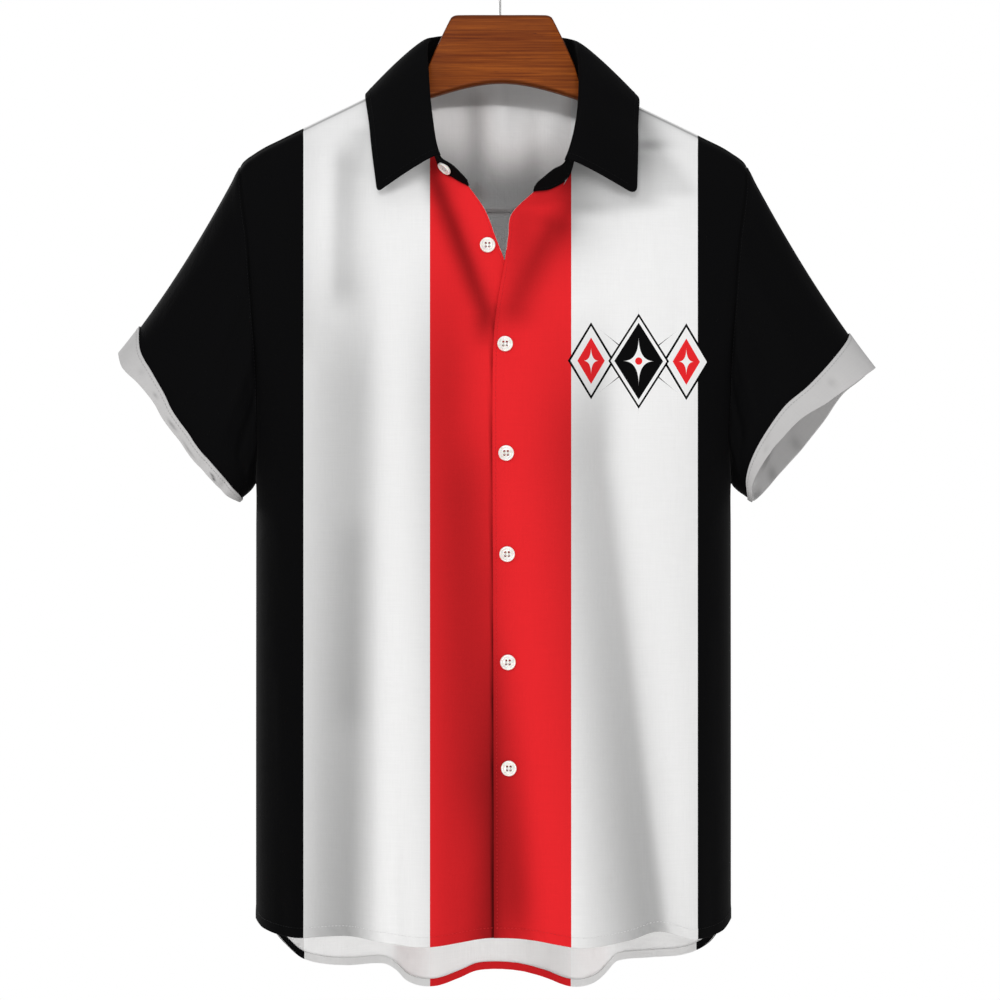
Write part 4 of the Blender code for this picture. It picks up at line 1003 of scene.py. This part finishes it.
def castResin():
    # cast polyester resin, tumbled: glassy, a little milky, with faint pearly clouds
    material, tree, surface = newMaterial("castResinButton", {
        "IOR": 1.54, "Roughness": 0.22, "Subsurface Weight": 0.15, "Subsurface Scale": 0.0015,
        "Coat Weight": 0.3, "Coat Roughness": 0.08,
    })
    place = addNode(tree, "TexCoord", {})
    clouds = addNode(tree, "TexNoise", {
        "Vector": place.outputs["Object"], "Scale": 1 / (4 * mm), "Detail": 3.0, "Distortion": 1.2,
    })
    ramp = addNode(tree, "ValToRGB", {0: clouds.outputs[0]})
    ramp.color_ramp.elements[0].position = 0.35
    ramp.color_ramp.elements[0].color = hexToLinear("#e4ded8")
    ramp.color_ramp.elements[1].position = 0.7
    ramp.color_ramp.elements[1].color = hexToLinear("#fbf8f4")
    tree.links.new(ramp.outputs[0], surface.inputs["Base Color"])
    worn = addNode(tree, "MapRange", {0: clouds.outputs[0], "To Min": 0.14, "To Max": 0.34})
    tree.links.new(worn.outputs[0], surface.inputs["Roughness"])
    return material


def varnishedWood():
    # beech stained reddish brown under satin varnish: long grain, small pores, darker along the rounded edges
    material, tree, surface = newMaterial("stainedVarnishedBeech", {
        "IOR": 1.5, "Roughness": 0.5, "Specular IOR Level": 0.08, "Coat Weight": 0.02, "Coat Roughness": 0.25,
    })
    place = addNode(tree, "TexCoord", {}).outputs["Object"]
    grains = []
    for along, across in ((70, 1.1), (150, 5.0), (16, 0.7)):
        stretched = addNode(tree, "Mapping", {
            "Vector": place, "Scale": (1 / (along * mm), 1 / (across * mm), 1 / (across * mm)),
        })
        grains.append(addNode(tree, "TexNoise", {
            "Vector": stretched.outputs[0], "Scale": 1.0, "Detail": 4.0, "Roughness": 0.6, "Distortion": 0.4,
        }).outputs[0])
    fine = addNode(tree, "ValToRGB", {0: grains[0]})
    for element, (at, colour) in zip(fine.color_ramp.elements, ((0.3, "#76350e"), (0.72, "#ac5c1c"))):
        element.position, element.color = at, hexToLinear(colour)
    broad = addNode(tree, "ValToRGB", {0: grains[1]})
    for element, (at, colour) in zip(broad.color_ramp.elements, ((0.32, "#b0917a"), (0.7, "#ffffff"))):
        element.position, element.color = at, hexToLinear(colour)
    toned = addNode(tree, "Mix", {
        "data_type": "RGBA", "blend_type": "MULTIPLY", 0: 0.8, 6: fine.outputs[0], 7: broad.outputs[0],
    })
    pores = addNode(tree, "MapRange", {0: grains[2], "From Min": 0.62, "From Max": 0.74})
    pored = addNode(tree, "Mix", {
        "data_type": "RGBA", 0: pores.outputs[0], 6: toned.outputs[2], 7: hexToLinear("#4a1f10"),
    })
    # the colour is darker along the rounded edges
    edge = addNode(tree, "Attribute", {"attribute_name": "roundEdge"})
    edgeDarkening = addNode(tree, "Math", {"operation": "MULTIPLY", 0: edge.outputs["Fac"], 1: 0.62})
    dark = addNode(tree, "Mix", {
        "data_type": "RGBA", 0: edgeDarkening.outputs[0], 6: pored.outputs[2], 7: hexToLinear("#35150b"),
    })
    tree.links.new(dark.outputs[2], surface.inputs["Base Color"])
    relief = addNode(tree, "Bump", {"Strength": 0.5, "Distance": 0.12 * mm, "Height": grains[0]})
    tree.links.new(relief.outputs[0], surface.inputs["Normal"])
    return material


def platedWire():
    # nickel-plated steel wire, drawn: bright with fine lengthwise scratches
    material, tree, surface = newMaterial("nickelPlatedWire", {"Metallic": 1.0, "Roughness": 0.3})
    place = addNode(tree, "TexCoord", {}).outputs["Object"]
    stretched = addNode(tree, "Mapping", {
        "Vector": place, "Scale": (1 / (0.5 * mm), 1 / (0.5 * mm), 1 / (9 * mm)),
    })
    drawn = addNode(tree, "TexNoise", {"Vector": stretched.outputs[0], "Scale": 1.0, "Detail": 2.0})
    ramp = addNode(tree, "ValToRGB", {0: drawn.outputs[0]})
    ramp.color_ramp.elements[0].color = hexToLinear("#8c8c8e")
    ramp.color_ramp.elements[1].color = hexToLinear("#c4c3c1")
    tree.links.new(ramp.outputs[0], surface.inputs["Base Color"])
    rough = addNode(tree, "MapRange", {0: drawn.outputs[0], "To Min": 0.2, "To Max": 0.45})
    tree.links.new(rough.outputs[0], surface.inputs["Roughness"])
    return material


print("materials")
printedFace = wovenPolyester("printedWovenPolyester", printColours)
printedChest = wovenPolyester("printedWovenPolyesterChest", printColours, chestMarks())
printedBack = wovenPolyester("wovenPolyesterWrongSide", wrongColours, sheen=0.02, roughness=0.85, through=0.9)
blackFace = wovenPolyester("blackWovenPolyester", None, ink=printColours["black"], sheen=0.015)
blackBack = wovenPolyester(
    "blackWovenPolyesterWrongSide", None, ink=wrongColours["black"], sheen=0.02, roughness=0.85,
)
tonalThread = spunThread("tonalPolyesterThread", {"red": "#d3262b", "white": "#e4e4e4", "black": "#0b0b0c"})
hemThread = spunThread("greyHemThread", {"red": "#a51c21", "white": "#9d9d9d", "black": "#141415"})
blackThread = spunThread("blackPolyesterThread", None, "#08080a", 0.8)
greyThread = spunThread("greyPolyesterThread", None, "#a2a2a2")
whiteThread = spunThread("whitePolyesterThread", None, "#d8d6d2")
resin = castResin()

print("cutting the pieces")
under, over = frontGrid(-1), frontGrid(1)
yokeTop = yokeGrid()
backCut = backGrid(yokeTop[-1])
frontUnder = newPiece("front_under_cloth", under, 1, ("top", "last"))
frontOver = newPiece("front_over_cloth", over, -1, ("top", "last"))
yoke = newPiece("yoke_cloth", yokeTop, 1, ("top", "low", "first", "last"))
back = newPiece("back_cloth", backCut, 1, ("top", "first", "last"))
sleevePieces = {}
for name, cut in sleeves.items():
    ring = armholeRing(cut["side"], under if cut["side"] < 0 else over, yokeTop, backCut)
    grid, share, turn = sleeveGrid(cut, ring)
    sleevePieces[name] = newPiece("sleeve_" + name + "_cloth", grid, cut["side"], ("top",), ring=True)
    sleevePieces[name]["creases"] = sleeveCreases(cut, share, turn)
    # painted shade at the cuff's pinched places
    sleevePieces[name]["shade"] = pinchShade(cut, share, turn)
stand = newPiece("collar_stand_cloth", standGrid(), -1, ("top",))
shareNormals([frontUnder, frontOver, yoke, back, stand, *sleevePieces.values()])
# painted shade of the folds and of the collar's shadow goes into the shade attribute
for piece, shades in ((frontUnder, frontShades), (frontOver, frontShades), (back, backShades)):
    x, z = piece["grid"][..., 0], piece["grid"][..., 2]
    piece["shade"] = np.clip(foldRise(shades, x, z, shadeFade), 0, mostShade)
# painted shadow on the under front, beside the lap's edge
x, z = frontUnder["grid"][..., 0], frontUnder["grid"][..., 2]
besideLap = readRows(body["overEdge"], z, 1) - x
below = softStep((lapShade["from"] - z) / lapShade["over"])
frontUnder["shade"] += lapShade["shade"] * np.exp(-((besideLap / lapShade["wide"]) ** 2)) * below
x, y, z = (yoke["grid"][..., i] for i in range(3))
behind = softStep((y - yokeCreases["from"]) / yokeCreases["over"])
creased = foldRise(yokeFolds, x, z, yokeCreases["fade"]) * behind
raiseCloth(yoke, creased)
# painted shade in the yoke's creases
yoke["shade"] = np.clip(-creased * yokeCreases["shade"], 0, yokeCreases["mostShade"])
# painted shade on the inner side of yoke and back, inside the neck
for piece in (yoke, back):
    x, z = piece["grid"][..., 0], piece["grid"][..., 2]
    deep = neckPaintedShade["shade"] * softStep((neckPaintedShade["from"] - z) / neckPaintedShade["over"])
    deep = deep * softStep((z - neckPaintedShade["endsAt"]) / neckPaintedShade["endsOver"])
    beside = np.clip(foldRise(neckShades, x, z, yokeCreases["fade"]), 0, mostShade)
    beside = beside * (z > neckPaintedShade["foldsEndAt"])
    piece["shadeInside"] = 1 - (1 - deep) * (1 - beside)

print("seams, hems and creases")
hems = {
    "frontRope": 0.07, "backRope": 0.3, "bandThick": 0.8, "bandGap": 0.6, "cuffOff": 1.5,
    "paleEdgeFrom": -277,  # above this height the fronts' turned edges show their wrong side
}
band = dict(back, name="hem_band_cloth", seams=())
for key in ("grid", "normals", "shade", "shadeInside"):
    band[key] = back[key][-counts["band"] - 1:].copy()
for piece in (frontUnder, frontOver, yoke, back):
    piece["uv"] = plumbMap(piece["grid"])
    dressSeams(piece)
for piece in (frontUnder, frontOver):
    dressHem(piece, "low", hems["frontRope"])
dressHem(back, "low", hems["backRope"])

cloth = {}
frontUnder["rimFrom"] = frontOver["rimFrom"] = hems["paleEdgeFrom"]
cloth["front_under"] = addShell(frontUnder, body["wall"], [printedFace, printedBack], 0)
cloth["front_over"] = addShell(frontOver, body["wall"], [printedChest, printedBack], 0)
cloth["yoke"] = addShell(yoke, body["wall"], [printedFace, printedBack], 0)
cloth["back"] = addShell(back, body["wall"], [printedFace, printedBack], 0)
band["uv"] = plumbMap(band["grid"])
band["grid"] = band["grid"] - band["normals"] * (body["wall"] + hems["bandGap"])
dressHem(band, "low", hems["backRope"])
cloth["hem_band_back"] = addShell(band, hems["bandThick"], [printedBack, printedFace], 1)

for name, piece in sleevePieces.items():
    raiseCloth(piece, piece["creases"])
    piece["uv"] = lengthMap(piece["grid"])
    dressSeams(piece)
    cuff = dict(piece, name="cuff_" + name + "_cloth", seams=())
    for key in ("grid", "normals", "uv", "shade"):
        cuff[key] = piece[key][counts["sleeve"]:].copy()
    cuff["grid"] = cuff["grid"] + cuff["normals"] * hems["cuffOff"]
    cloth["sleeve_" + name] = addShell(piece, body["wall"], [blackFace, blackBack], 1)
    cloth["cuff_" + name] = addShell(cuff, body["wall"], [blackBack, blackFace], 0)
    piece["cuff"] = cuff

stand["uv"] = lengthMap(stand["grid"])
leaf = newPiece("collar_leaf_cloth", leafGrid(stand["normals"]), 1)
leaf["uv"] = lengthMap(leaf["grid"])
cloth["collar_stand"] = addShell(stand, collar["wall"], [blackFace, blackFace], 0)
cloth["collar_leaf"] = addShell(leaf, collar["wall"], [blackFace, blackFace], 0)
for node, obj in cloth.items():
    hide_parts(node)

print("sewing")
tonal = []
for piece in (frontUnder, frontOver):
    tonal += sewLine(insetLine(piece, "first", sewing["edge"], (0.0, 0.985)))
    tonal += sewLine(insetLine(piece, "low", sewing["frontHem"], (0.01, 0.99)))
tonal += sewLine(insetLine(yoke, "low", sewing["edge"], (0.01, 0.99)))
addStitches("body_stitches", tonal, tonalThread)
hemLines = []
for border, inset in (("top", sewing["bandTop"]), ("low", sewing["bandLow"])):
    hemLines += sewLine(insetLine(band, border, inset, (0.01, 0.99)))
hemLines += sewLine(insetLine(back, "low", sewing["backHem"], (0.01, 0.99)))
addStitches("hem_stitches", hemLines, hemThread)
dark = []
for name, piece in sleevePieces.items():
    dark += sewLine(insetLine(piece, "top", sewing["edge"]), closed=True)
for border in ("first", "low", "last"):
    dark += sewLine(insetLine(leaf, border, sewing["leaf"], (0.06, 0.94)))
dark += sewLine(insetLine(stand, "top", sewing["edge"], (0.01, 0.99)))
addStitches("black_stitches", dark, blackThread)
grey = []
for name, piece in sleevePieces.items():
    grey += sewLine(insetLine(piece["cuff"], "top", sewing["edge"]), closed=True)
addStitches("cuff_stitches", grey, greyThread)

print("buttons")
button = {
    "radius": 6.3, "thick": 2.6, "rim": 1.5, "dish": 0.8, "edge": 0.8, "hole": 0.95, "holeOut": 1.45,
    "off": 0.6, "sides": 48, "holeSides": 20, "drillDepth": 8,
    # name, x, height, over front
    "places": [
        ("button_open", -10.2, -271.5, False), ("button_1", 4.1, -352.7, True),
        ("button_2", 4.9, -441.3, True), ("button_3", 5.7, -523.2, True),
        ("button_4", 6.5, -610.9, True), ("button_5", 7.3, -696.9, True),
    ],
}
crossBar = {"radius": 0.2, "past": 0.35, "sunk": 0.9, "lift": 1.25, "steep": 2.2, "steps": 8, "sides": 6}


def turnedMesh(name, profile, sides):
    # a closed form turned round its axis from radius, height pairs
    shape = bmesh.new()
    rings = []
    for radius, height in profile:
        if radius == 0:
            rings.append([shape.verts.new((0, 0, height * mm))])
            continue
        angles = [2 * math.pi * i / sides for i in range(sides)]
        rings.append([
            shape.verts.new((radius * math.cos(a) * mm, radius * math.sin(a) * mm, height * mm))
            for a in angles
        ])
    for low, high in zip(rings, rings[1:]):
        for i in range(sides):
            n = (i + 1) % sides
            corners = [low[i % len(low)], low[n % len(low)], high[n % len(high)], high[i % len(high)]]
            shape.faces.new(list(dict.fromkeys(corners)))
    bmesh.ops.recalc_face_normals(shape, faces=shape.faces)
    mesh = bpy.data.meshes.new(name)
    shape.to_mesh(mesh)
    shape.free()
    return mesh


def buttonProfile():
    radius, thick, edge = button["radius"], button["thick"], button["edge"]
    rim, dish = radius - button["rim"], thick - button["dish"]
    profile = [(0, 0), (radius - edge, 0)]
    for i in range(1, 7):
        turn = math.pi / 2 * (i / 6 - 1)
        profile.append((radius - edge + edge * math.cos(turn), edge + edge * math.sin(turn)))
    for i in range(7):
        turn = math.pi / 2 * i / 6
        profile.append((radius - edge + edge * math.cos(turn), thick - edge + edge * math.sin(turn)))
    for i in range(1, 8):  # the dish falls away inside the rim
        t = i / 8
        profile.append((rim + 0.4 - 1.4 * t, thick - button["dish"] * float(softStep(t))))
    return profile + [(rim - 2.2, dish), (0, dish)]


def drilledButton():
    mesh = turnedMesh("drilled_button", buttonProfile(), button["sides"])
    blank = bpy.data.objects.new("blank", mesh)
    drill = bpy.data.objects.new("drill", bpy.data.meshes.new("drill"))
    holes = bmesh.new()
    for x in (-1, 1):
        for y in (-1, 1):
            made = bmesh.ops.create_cone(
                holes, cap_ends=True, segments=button["holeSides"], radius1=button["hole"] * mm,
                radius2=button["hole"] * mm, depth=button["drillDepth"] * mm,
            )
            out = button["holeOut"] * mm
            bmesh.ops.translate(holes, verts=made["verts"], vec=(x * out, y * out, 0))
    holes.to_mesh(drill.data)
    holes.free()
    for obj in (blank, drill):
        bpy.context.scene.collection.objects.link(obj)
    cut = blank.modifiers.new("drilled", "BOOLEAN")
    cut.object = drill
    shaped = bpy.data.meshes.new_from_object(blank.evaluated_get(bpy.context.evaluated_depsgraph_get()))
    for obj in (blank, drill):
        bpy.data.objects.remove(obj)
    shaped.name = "drilled_button"
    shaped.shade_smooth()
    shaped.set_sharp_from_angle(angle=math.radians(38))
    return shaped


def placeFacing(obj, point, facing):
    across = Vector((1, 0, 0))
    up = Vector(facing)
    across = (across - up * across.dot(up)).normalized()
    turn = obj.matrix_world.to_3x3()
    turn.col[0], turn.col[1], turn.col[2] = across, up.cross(across), up
    obj.matrix_world = turn.to_4x4()
    obj.location = Vector(point) * mm


def crossThread():
    # two double bars of thread, each from an upper hole to the one below it
    out, thick, radius = button["holeOut"], button["thick"] - button["dish"], crossBar["radius"]
    steps, sides = crossBar["steps"], crossBar["sides"]
    points, faces = [], []
    for x in (-out, out):
        for shift in (-radius, radius):
            base = len(points)
            for share in np.linspace(0, 1, steps + 1):
                arch = math.sin(math.pi * share)
                y = -out - crossBar["past"] + (2 * out + 0.1) * share
                z = thick - crossBar["sunk"] + crossBar["lift"] * min(1, arch * crossBar["steep"])
                for i in range(sides):
                    turn = 2 * math.pi * i / sides
                    points.append((x + shift + radius * math.cos(turn), y, z + radius * math.sin(turn)))
            for k in range(steps):
                for i in range(sides):
                    low, n = base + sides * k, (i + 1) % sides
                    faces.append((low + i, low + n, low + sides + n, low + sides + i))
            top = base + sides * steps
            faces += [tuple(range(base + sides - 1, base - 1, -1)), tuple(range(top, top + sides))]
    return points, faces


def surfaceAt(x, z, isOver):
    # a point of the front and the way it faces, read from points a little to each side of it
    d = 4
    spots = frontSurface(np.array([x, x + d, x - d, x, x]), np.array([z, z, z, z - d, z + d]), isOver)
    facing = unit(np.cross(spots[3] - spots[4], spots[1] - spots[2]))
    return spots[0], facing


buttonMesh = drilledButton()
buttonMesh.materials.append(resin)
threadPoints, threadFaces = crossThread()
spots = [(name, *surfaceAt(x, z, isOver)) for name, x, z, isOver in button["places"]]
# the stand's button sits in the middle of this cell, near its under end
cell = standGrid()[::counts["stand"] // 3, ::counts["collar"]][1:3, 1:3]
facing = unit(np.cross(cell[1, 0] - cell[0, 1], cell[1, 1] - cell[0, 0]))
spots.append(("button_stand", cell.mean(axis=(0, 1)), facing))
for name, point, facing in spots:
    obj = bpy.data.objects.new(name + "_resin", buttonMesh.copy())
    bpy.context.scene.collection.objects.link(obj)
    placeFacing(obj, point + facing * button["off"], facing)
    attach(obj, "root")
    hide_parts(name)
    flat = np.zeros((len(threadPoints), 2))
    sewn = addMesh(name + "_thread", threadPoints, threadFaces, [whiteThread], None, flat)
    placeFacing(sewn, point + facing * button["off"], facing)
    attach(sewn, "root")

print("hanger")
hanger = {
    "half": 7.0, "round": 3.5, "underRidge": 3.6, "reach": 197.0, "stations": 60, "tip": 4.0, "taper": 2.5,
    "mid": 1.3, "hub": 75.0, "crownStations": 56, "cornerSteps": 6, "tipShares": (0.35, 0.7, 0.93, 1.0),
    # reach from the hub's middle, height of the top
    "hubTop": [
        (0, -72.6), (36, -72.7), (40, -73.4), (43, -76), (61, -114), (64, -124), (67, -131), (75, -134),
    ],
    # reach, height of the underside
    "underside": [(-60, -142), (0, -129.5), (60, -142), (100, -161), (150, -184.5), (197, -204)],
    "wire": 1.0, "bend": 20.0, "foot": -72.3, "stemTop": -52.0, "turn": 192,
    "stemSteps": 6, "swingSteps": 16, "bendSteps": 48,
}


def woodTop(x):
    onHub = readRows(hanger["hubTop"], np.abs(x - hanger["mid"]), 1)
    return np.where(np.abs(x - hanger["mid"]) < hanger["hub"], onHub, ridgeHeight(x) - hanger["underRidge"])


def woodSection(x, top, low, half):
    corner = min(hanger["round"], half * 0.8, (top - low) * 0.4)
    section, edge = [], []
    steps = hanger["cornerSteps"]
    for ySide, zEdge, start in ((1, top, 0), (-1, top, 1), (-1, low, 2), (1, low, 3)):
        for i in range(steps + 1):
            angle = (start + i / steps) * math.pi / 2
            y = ySide * (half - corner) + corner * math.cos(angle)
            z = zEdge + (-corner if zEdge == top else corner) + corner * math.sin(angle)
            section.append((x, y, z))
            edge.append(math.sin(math.pi * i / steps) ** 2)
    return section, edge


def buildWood():
    arms = np.linspace(hanger["hub"], hanger["reach"], hanger["stations"] // 2)[1:]
    crown = np.linspace(0, hanger["hub"], hanger["crownStations"])
    places = np.sort(np.concatenate([
        body["mid"] - arms, hanger["mid"] - crown[1:], hanger["mid"] + crown, body["mid"] + arms,
    ]))
    sections = []
    for x in places:
        low = float(readRows(hanger["underside"], abs(x - hanger["mid"]), 1))
        sections.append(woodSection(x, float(woodTop(x)), low, hanger["half"]))
    for end, side in ((0, -1), (-1, 1)):  # the rounded ends of the arms
        x, top = places[end], float(woodTop(places[end]))
        low = hanger["underside"][-1][1]
        for share in hanger["tipShares"]:
            shrink = 1 - math.sqrt(max(0.0, 1 - share**2))
            taper = hanger["taper"] * shrink
            tip = woodSection(
                x + side * hanger["tip"] * share, top - hanger["tip"] * shrink,
                low + taper, hanger["half"] - taper,
            )
            sections.insert(0 if side < 0 else len(sections), tip)
    count = len(sections[0][0])
    points = [p for section, _ in sections for p in section]
    faces = [tuple(range(count)), tuple(range(len(points) - 1, len(points) - count - 1, -1))]
    for k in range(len(sections) - 1):
        for j in range(count):
            a, b = k * count + j, k * count + (j + 1) % count
            faces.append((a, a + count, b + count, b))
    obj = addMesh("hanger_beech", points, faces, [varnishedWood()])
    obj.data.attributes.new("roundEdge", "FLOAT", "POINT").data.foreach_set(
        "value", [e for _, edge in sections for e in edge])
    tidy = bmesh.new()
    tidy.from_mesh(obj.data)
    bmesh.ops.recalc_face_normals(tidy, faces=tidy.faces)
    tidy.to_mesh(obj.data)
    tidy.free()
    obj.data.set_sharp_from_angle(angle=math.radians(50))
    return obj


def buildHook():
    radius = hanger["wire"] + hanger["bend"]
    foot, stemTop = hanger["foot"], hanger["stemTop"]
    stem, swing, turned = hanger["stemSteps"], hanger["swingSteps"], hanger["bendSteps"]
    path = [(0, foot + (stemTop - foot) * i / stem) for i in range(stem + 1)]
    for i in range(1, swing):
        t = i / swing
        path.append((radius * float(softStep(t)), stemTop + (-hanger["bend"] - stemTop) * t))
    for i in range(turned + 1):
        angle = math.radians(hanger["turn"]) * i / turned
        path.append((radius * math.cos(angle), radius * math.sin(angle) - hanger["bend"]))
    curve = bpy.data.curves.new("hook_wire", "CURVE")
    curve.dimensions = "3D"
    curve.bevel_depth = hanger["wire"] * mm
    curve.bevel_resolution = 5
    curve.use_fill_caps = True
    spline = curve.splines.new("POLY")
    spline.points.add(len(path) - 1)
    for point, (x, z) in zip(spline.points, path):
        point.co = (x * mm, 0, z * mm, 1)
    curve.materials.append(platedWire())
    obj = bpy.data.objects.new("hook_wire", curve)
    bpy.context.scene.collection.objects.link(obj)
    return obj


for obj, node, slot in (
    (buildWood(), "hanger_wood", "varnished_wood"), (buildHook(), "hanger_hook", "plated_steel"),
):
    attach(obj, "root")
    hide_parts(node)

print("cut sizes")
cuts = {
    # flat width and length in metres, flat area where it isn't a rectangle, how it is held and by what
    "front_under": ((0.275, 0.700), 0.155, "hung", "hanger_beech"),
    "front_over": ((0.270, 0.700), 0.150, "hung", "hanger_beech"),
    "yoke": ((0.470, 0.150), 0.058, "hung", "hanger_beech"),
    "back": ((0.500, 0.680), 0.315, "hung", "yoke_cloth"),
    "hem_band_back": ((0.500, 0.010), None, "folded", "back_cloth"),
    "sleeve_left": ((0.500, 0.165), 0.049, "hung", "front_under_cloth"),
    "sleeve_right": ((0.500, 0.165), 0.049, "hung", "front_over_cloth"),
    "cuff_left": ((0.345, 0.022), None, "folded", "sleeve_left_cloth"),
    "cuff_right": ((0.345, 0.024), None, "folded", "sleeve_right_cloth"),
    "collar_stand": ((0.400, 0.034), 0.0115, "hung", "yoke_cloth"),
    "collar_leaf": ((0.470, 0.085), 0.034, "folded", "collar_stand_cloth"),
}
for node, (flat, area, held, support) in cuts.items():
    total = sum(p.area for p in cloth[node].data.polygons) / 2
    print("  ", node, "shows", round(total, 4), "of", round(area or flat[0] * flat[1], 4), "square metres")

print("studio")
studio = {
    "cameraBack": 2.6, "cameraHeight": -0.4794, "frameWidth": 0.84, "sensor": 36.0,
    "floorSide": 3.6, "floorHeight": -1.2, "background": 1.0, "ambient": 0.40,
    # position, aim, size, power in watts
    "lights": {
        "front": ((-0.5, -3.0, 1.0), (0.0, 0.0, -0.45), 1.3, 25),
        "fill": ((0.2, -2.8, -0.98), (0.0, 0.0, -0.45), 0.4, 20),
        "left": ((-2.3, -1.75, 0.25), (0.0, 0.0, -0.5), 0.9, 8),
        "right": ((2.3, -1.75, 0.25), (0.0, 0.0, -0.5), 0.9, 8),
        "top": ((0.0, -0.4, 1.6), (0.0, 0.0, -0.4), 1.4, 5),
        "back": ((-1.9, 2.0, 0.5), (0.0, 0.0, -0.5), 1.2, 34),
        "backRight": ((1.9, 1.8, 0.0), (0.0, 0.0, -0.5), 1.2, 5),
    },
}


def addStudio():
    scene = bpy.context.scene
    view = bpy.data.cameras.new("camera")
    view.sensor_width = studio["sensor"]
    view.lens = studio["sensor"] * studio["cameraBack"] / studio["frameWidth"]
    camera = bpy.data.objects.new("camera", view)
    camera.location = (0, -studio["cameraBack"], studio["cameraHeight"])
    camera.rotation_euler = (math.radians(90), 0, 0)
    scene.collection.objects.link(camera)
    scene.camera = camera
    for name, (place, aim, size, power) in studio["lights"].items():
        lamp = bpy.data.lights.new(name, "AREA")
        lamp.size, lamp.energy = size, power
        obj = bpy.data.objects.new(name, lamp)
        obj.location = place
        obj.rotation_euler = (Vector(aim) - Vector(place)).to_track_quat("-Z", "Y").to_euler()
        scene.collection.objects.link(obj)
    world = bpy.data.worlds.new("studio")
    scene.world = world
    world.use_nodes = True
    tree = world.node_tree
    tree.nodes.clear()
    ray = addNode(tree, "LightPath", {})
    seen, felt = (addNode(tree, "Background", {0: (1, 1, 1, 1), 1: studio[level]})
                  for level in ("background", "ambient"))
    both = addNode(tree, "MixShader", {
        0: ray.outputs["Is Camera Ray"], 1: felt.outputs[0], 2: seen.outputs[0],
    })
    addNode(tree, "OutputWorld", {0: both.outputs[0]})
    scene.view_settings.view_transform = "Standard"
    # a plain pale floor well below the hem
    side = studio["floorSide"] / 2 / mm
    material = newMaterial("paleFloor", {"Base Color": hexToLinear("#f0efed"), "Roughness": 0.9})[0]
    height = studio["floorHeight"] / mm
    corners = [(-side, -side, height), (side, -side, height), (side, side, height), (-side, side, height)]
    addMesh("floor", corners, [(0, 1, 2, 3)], [material])


addStudio()
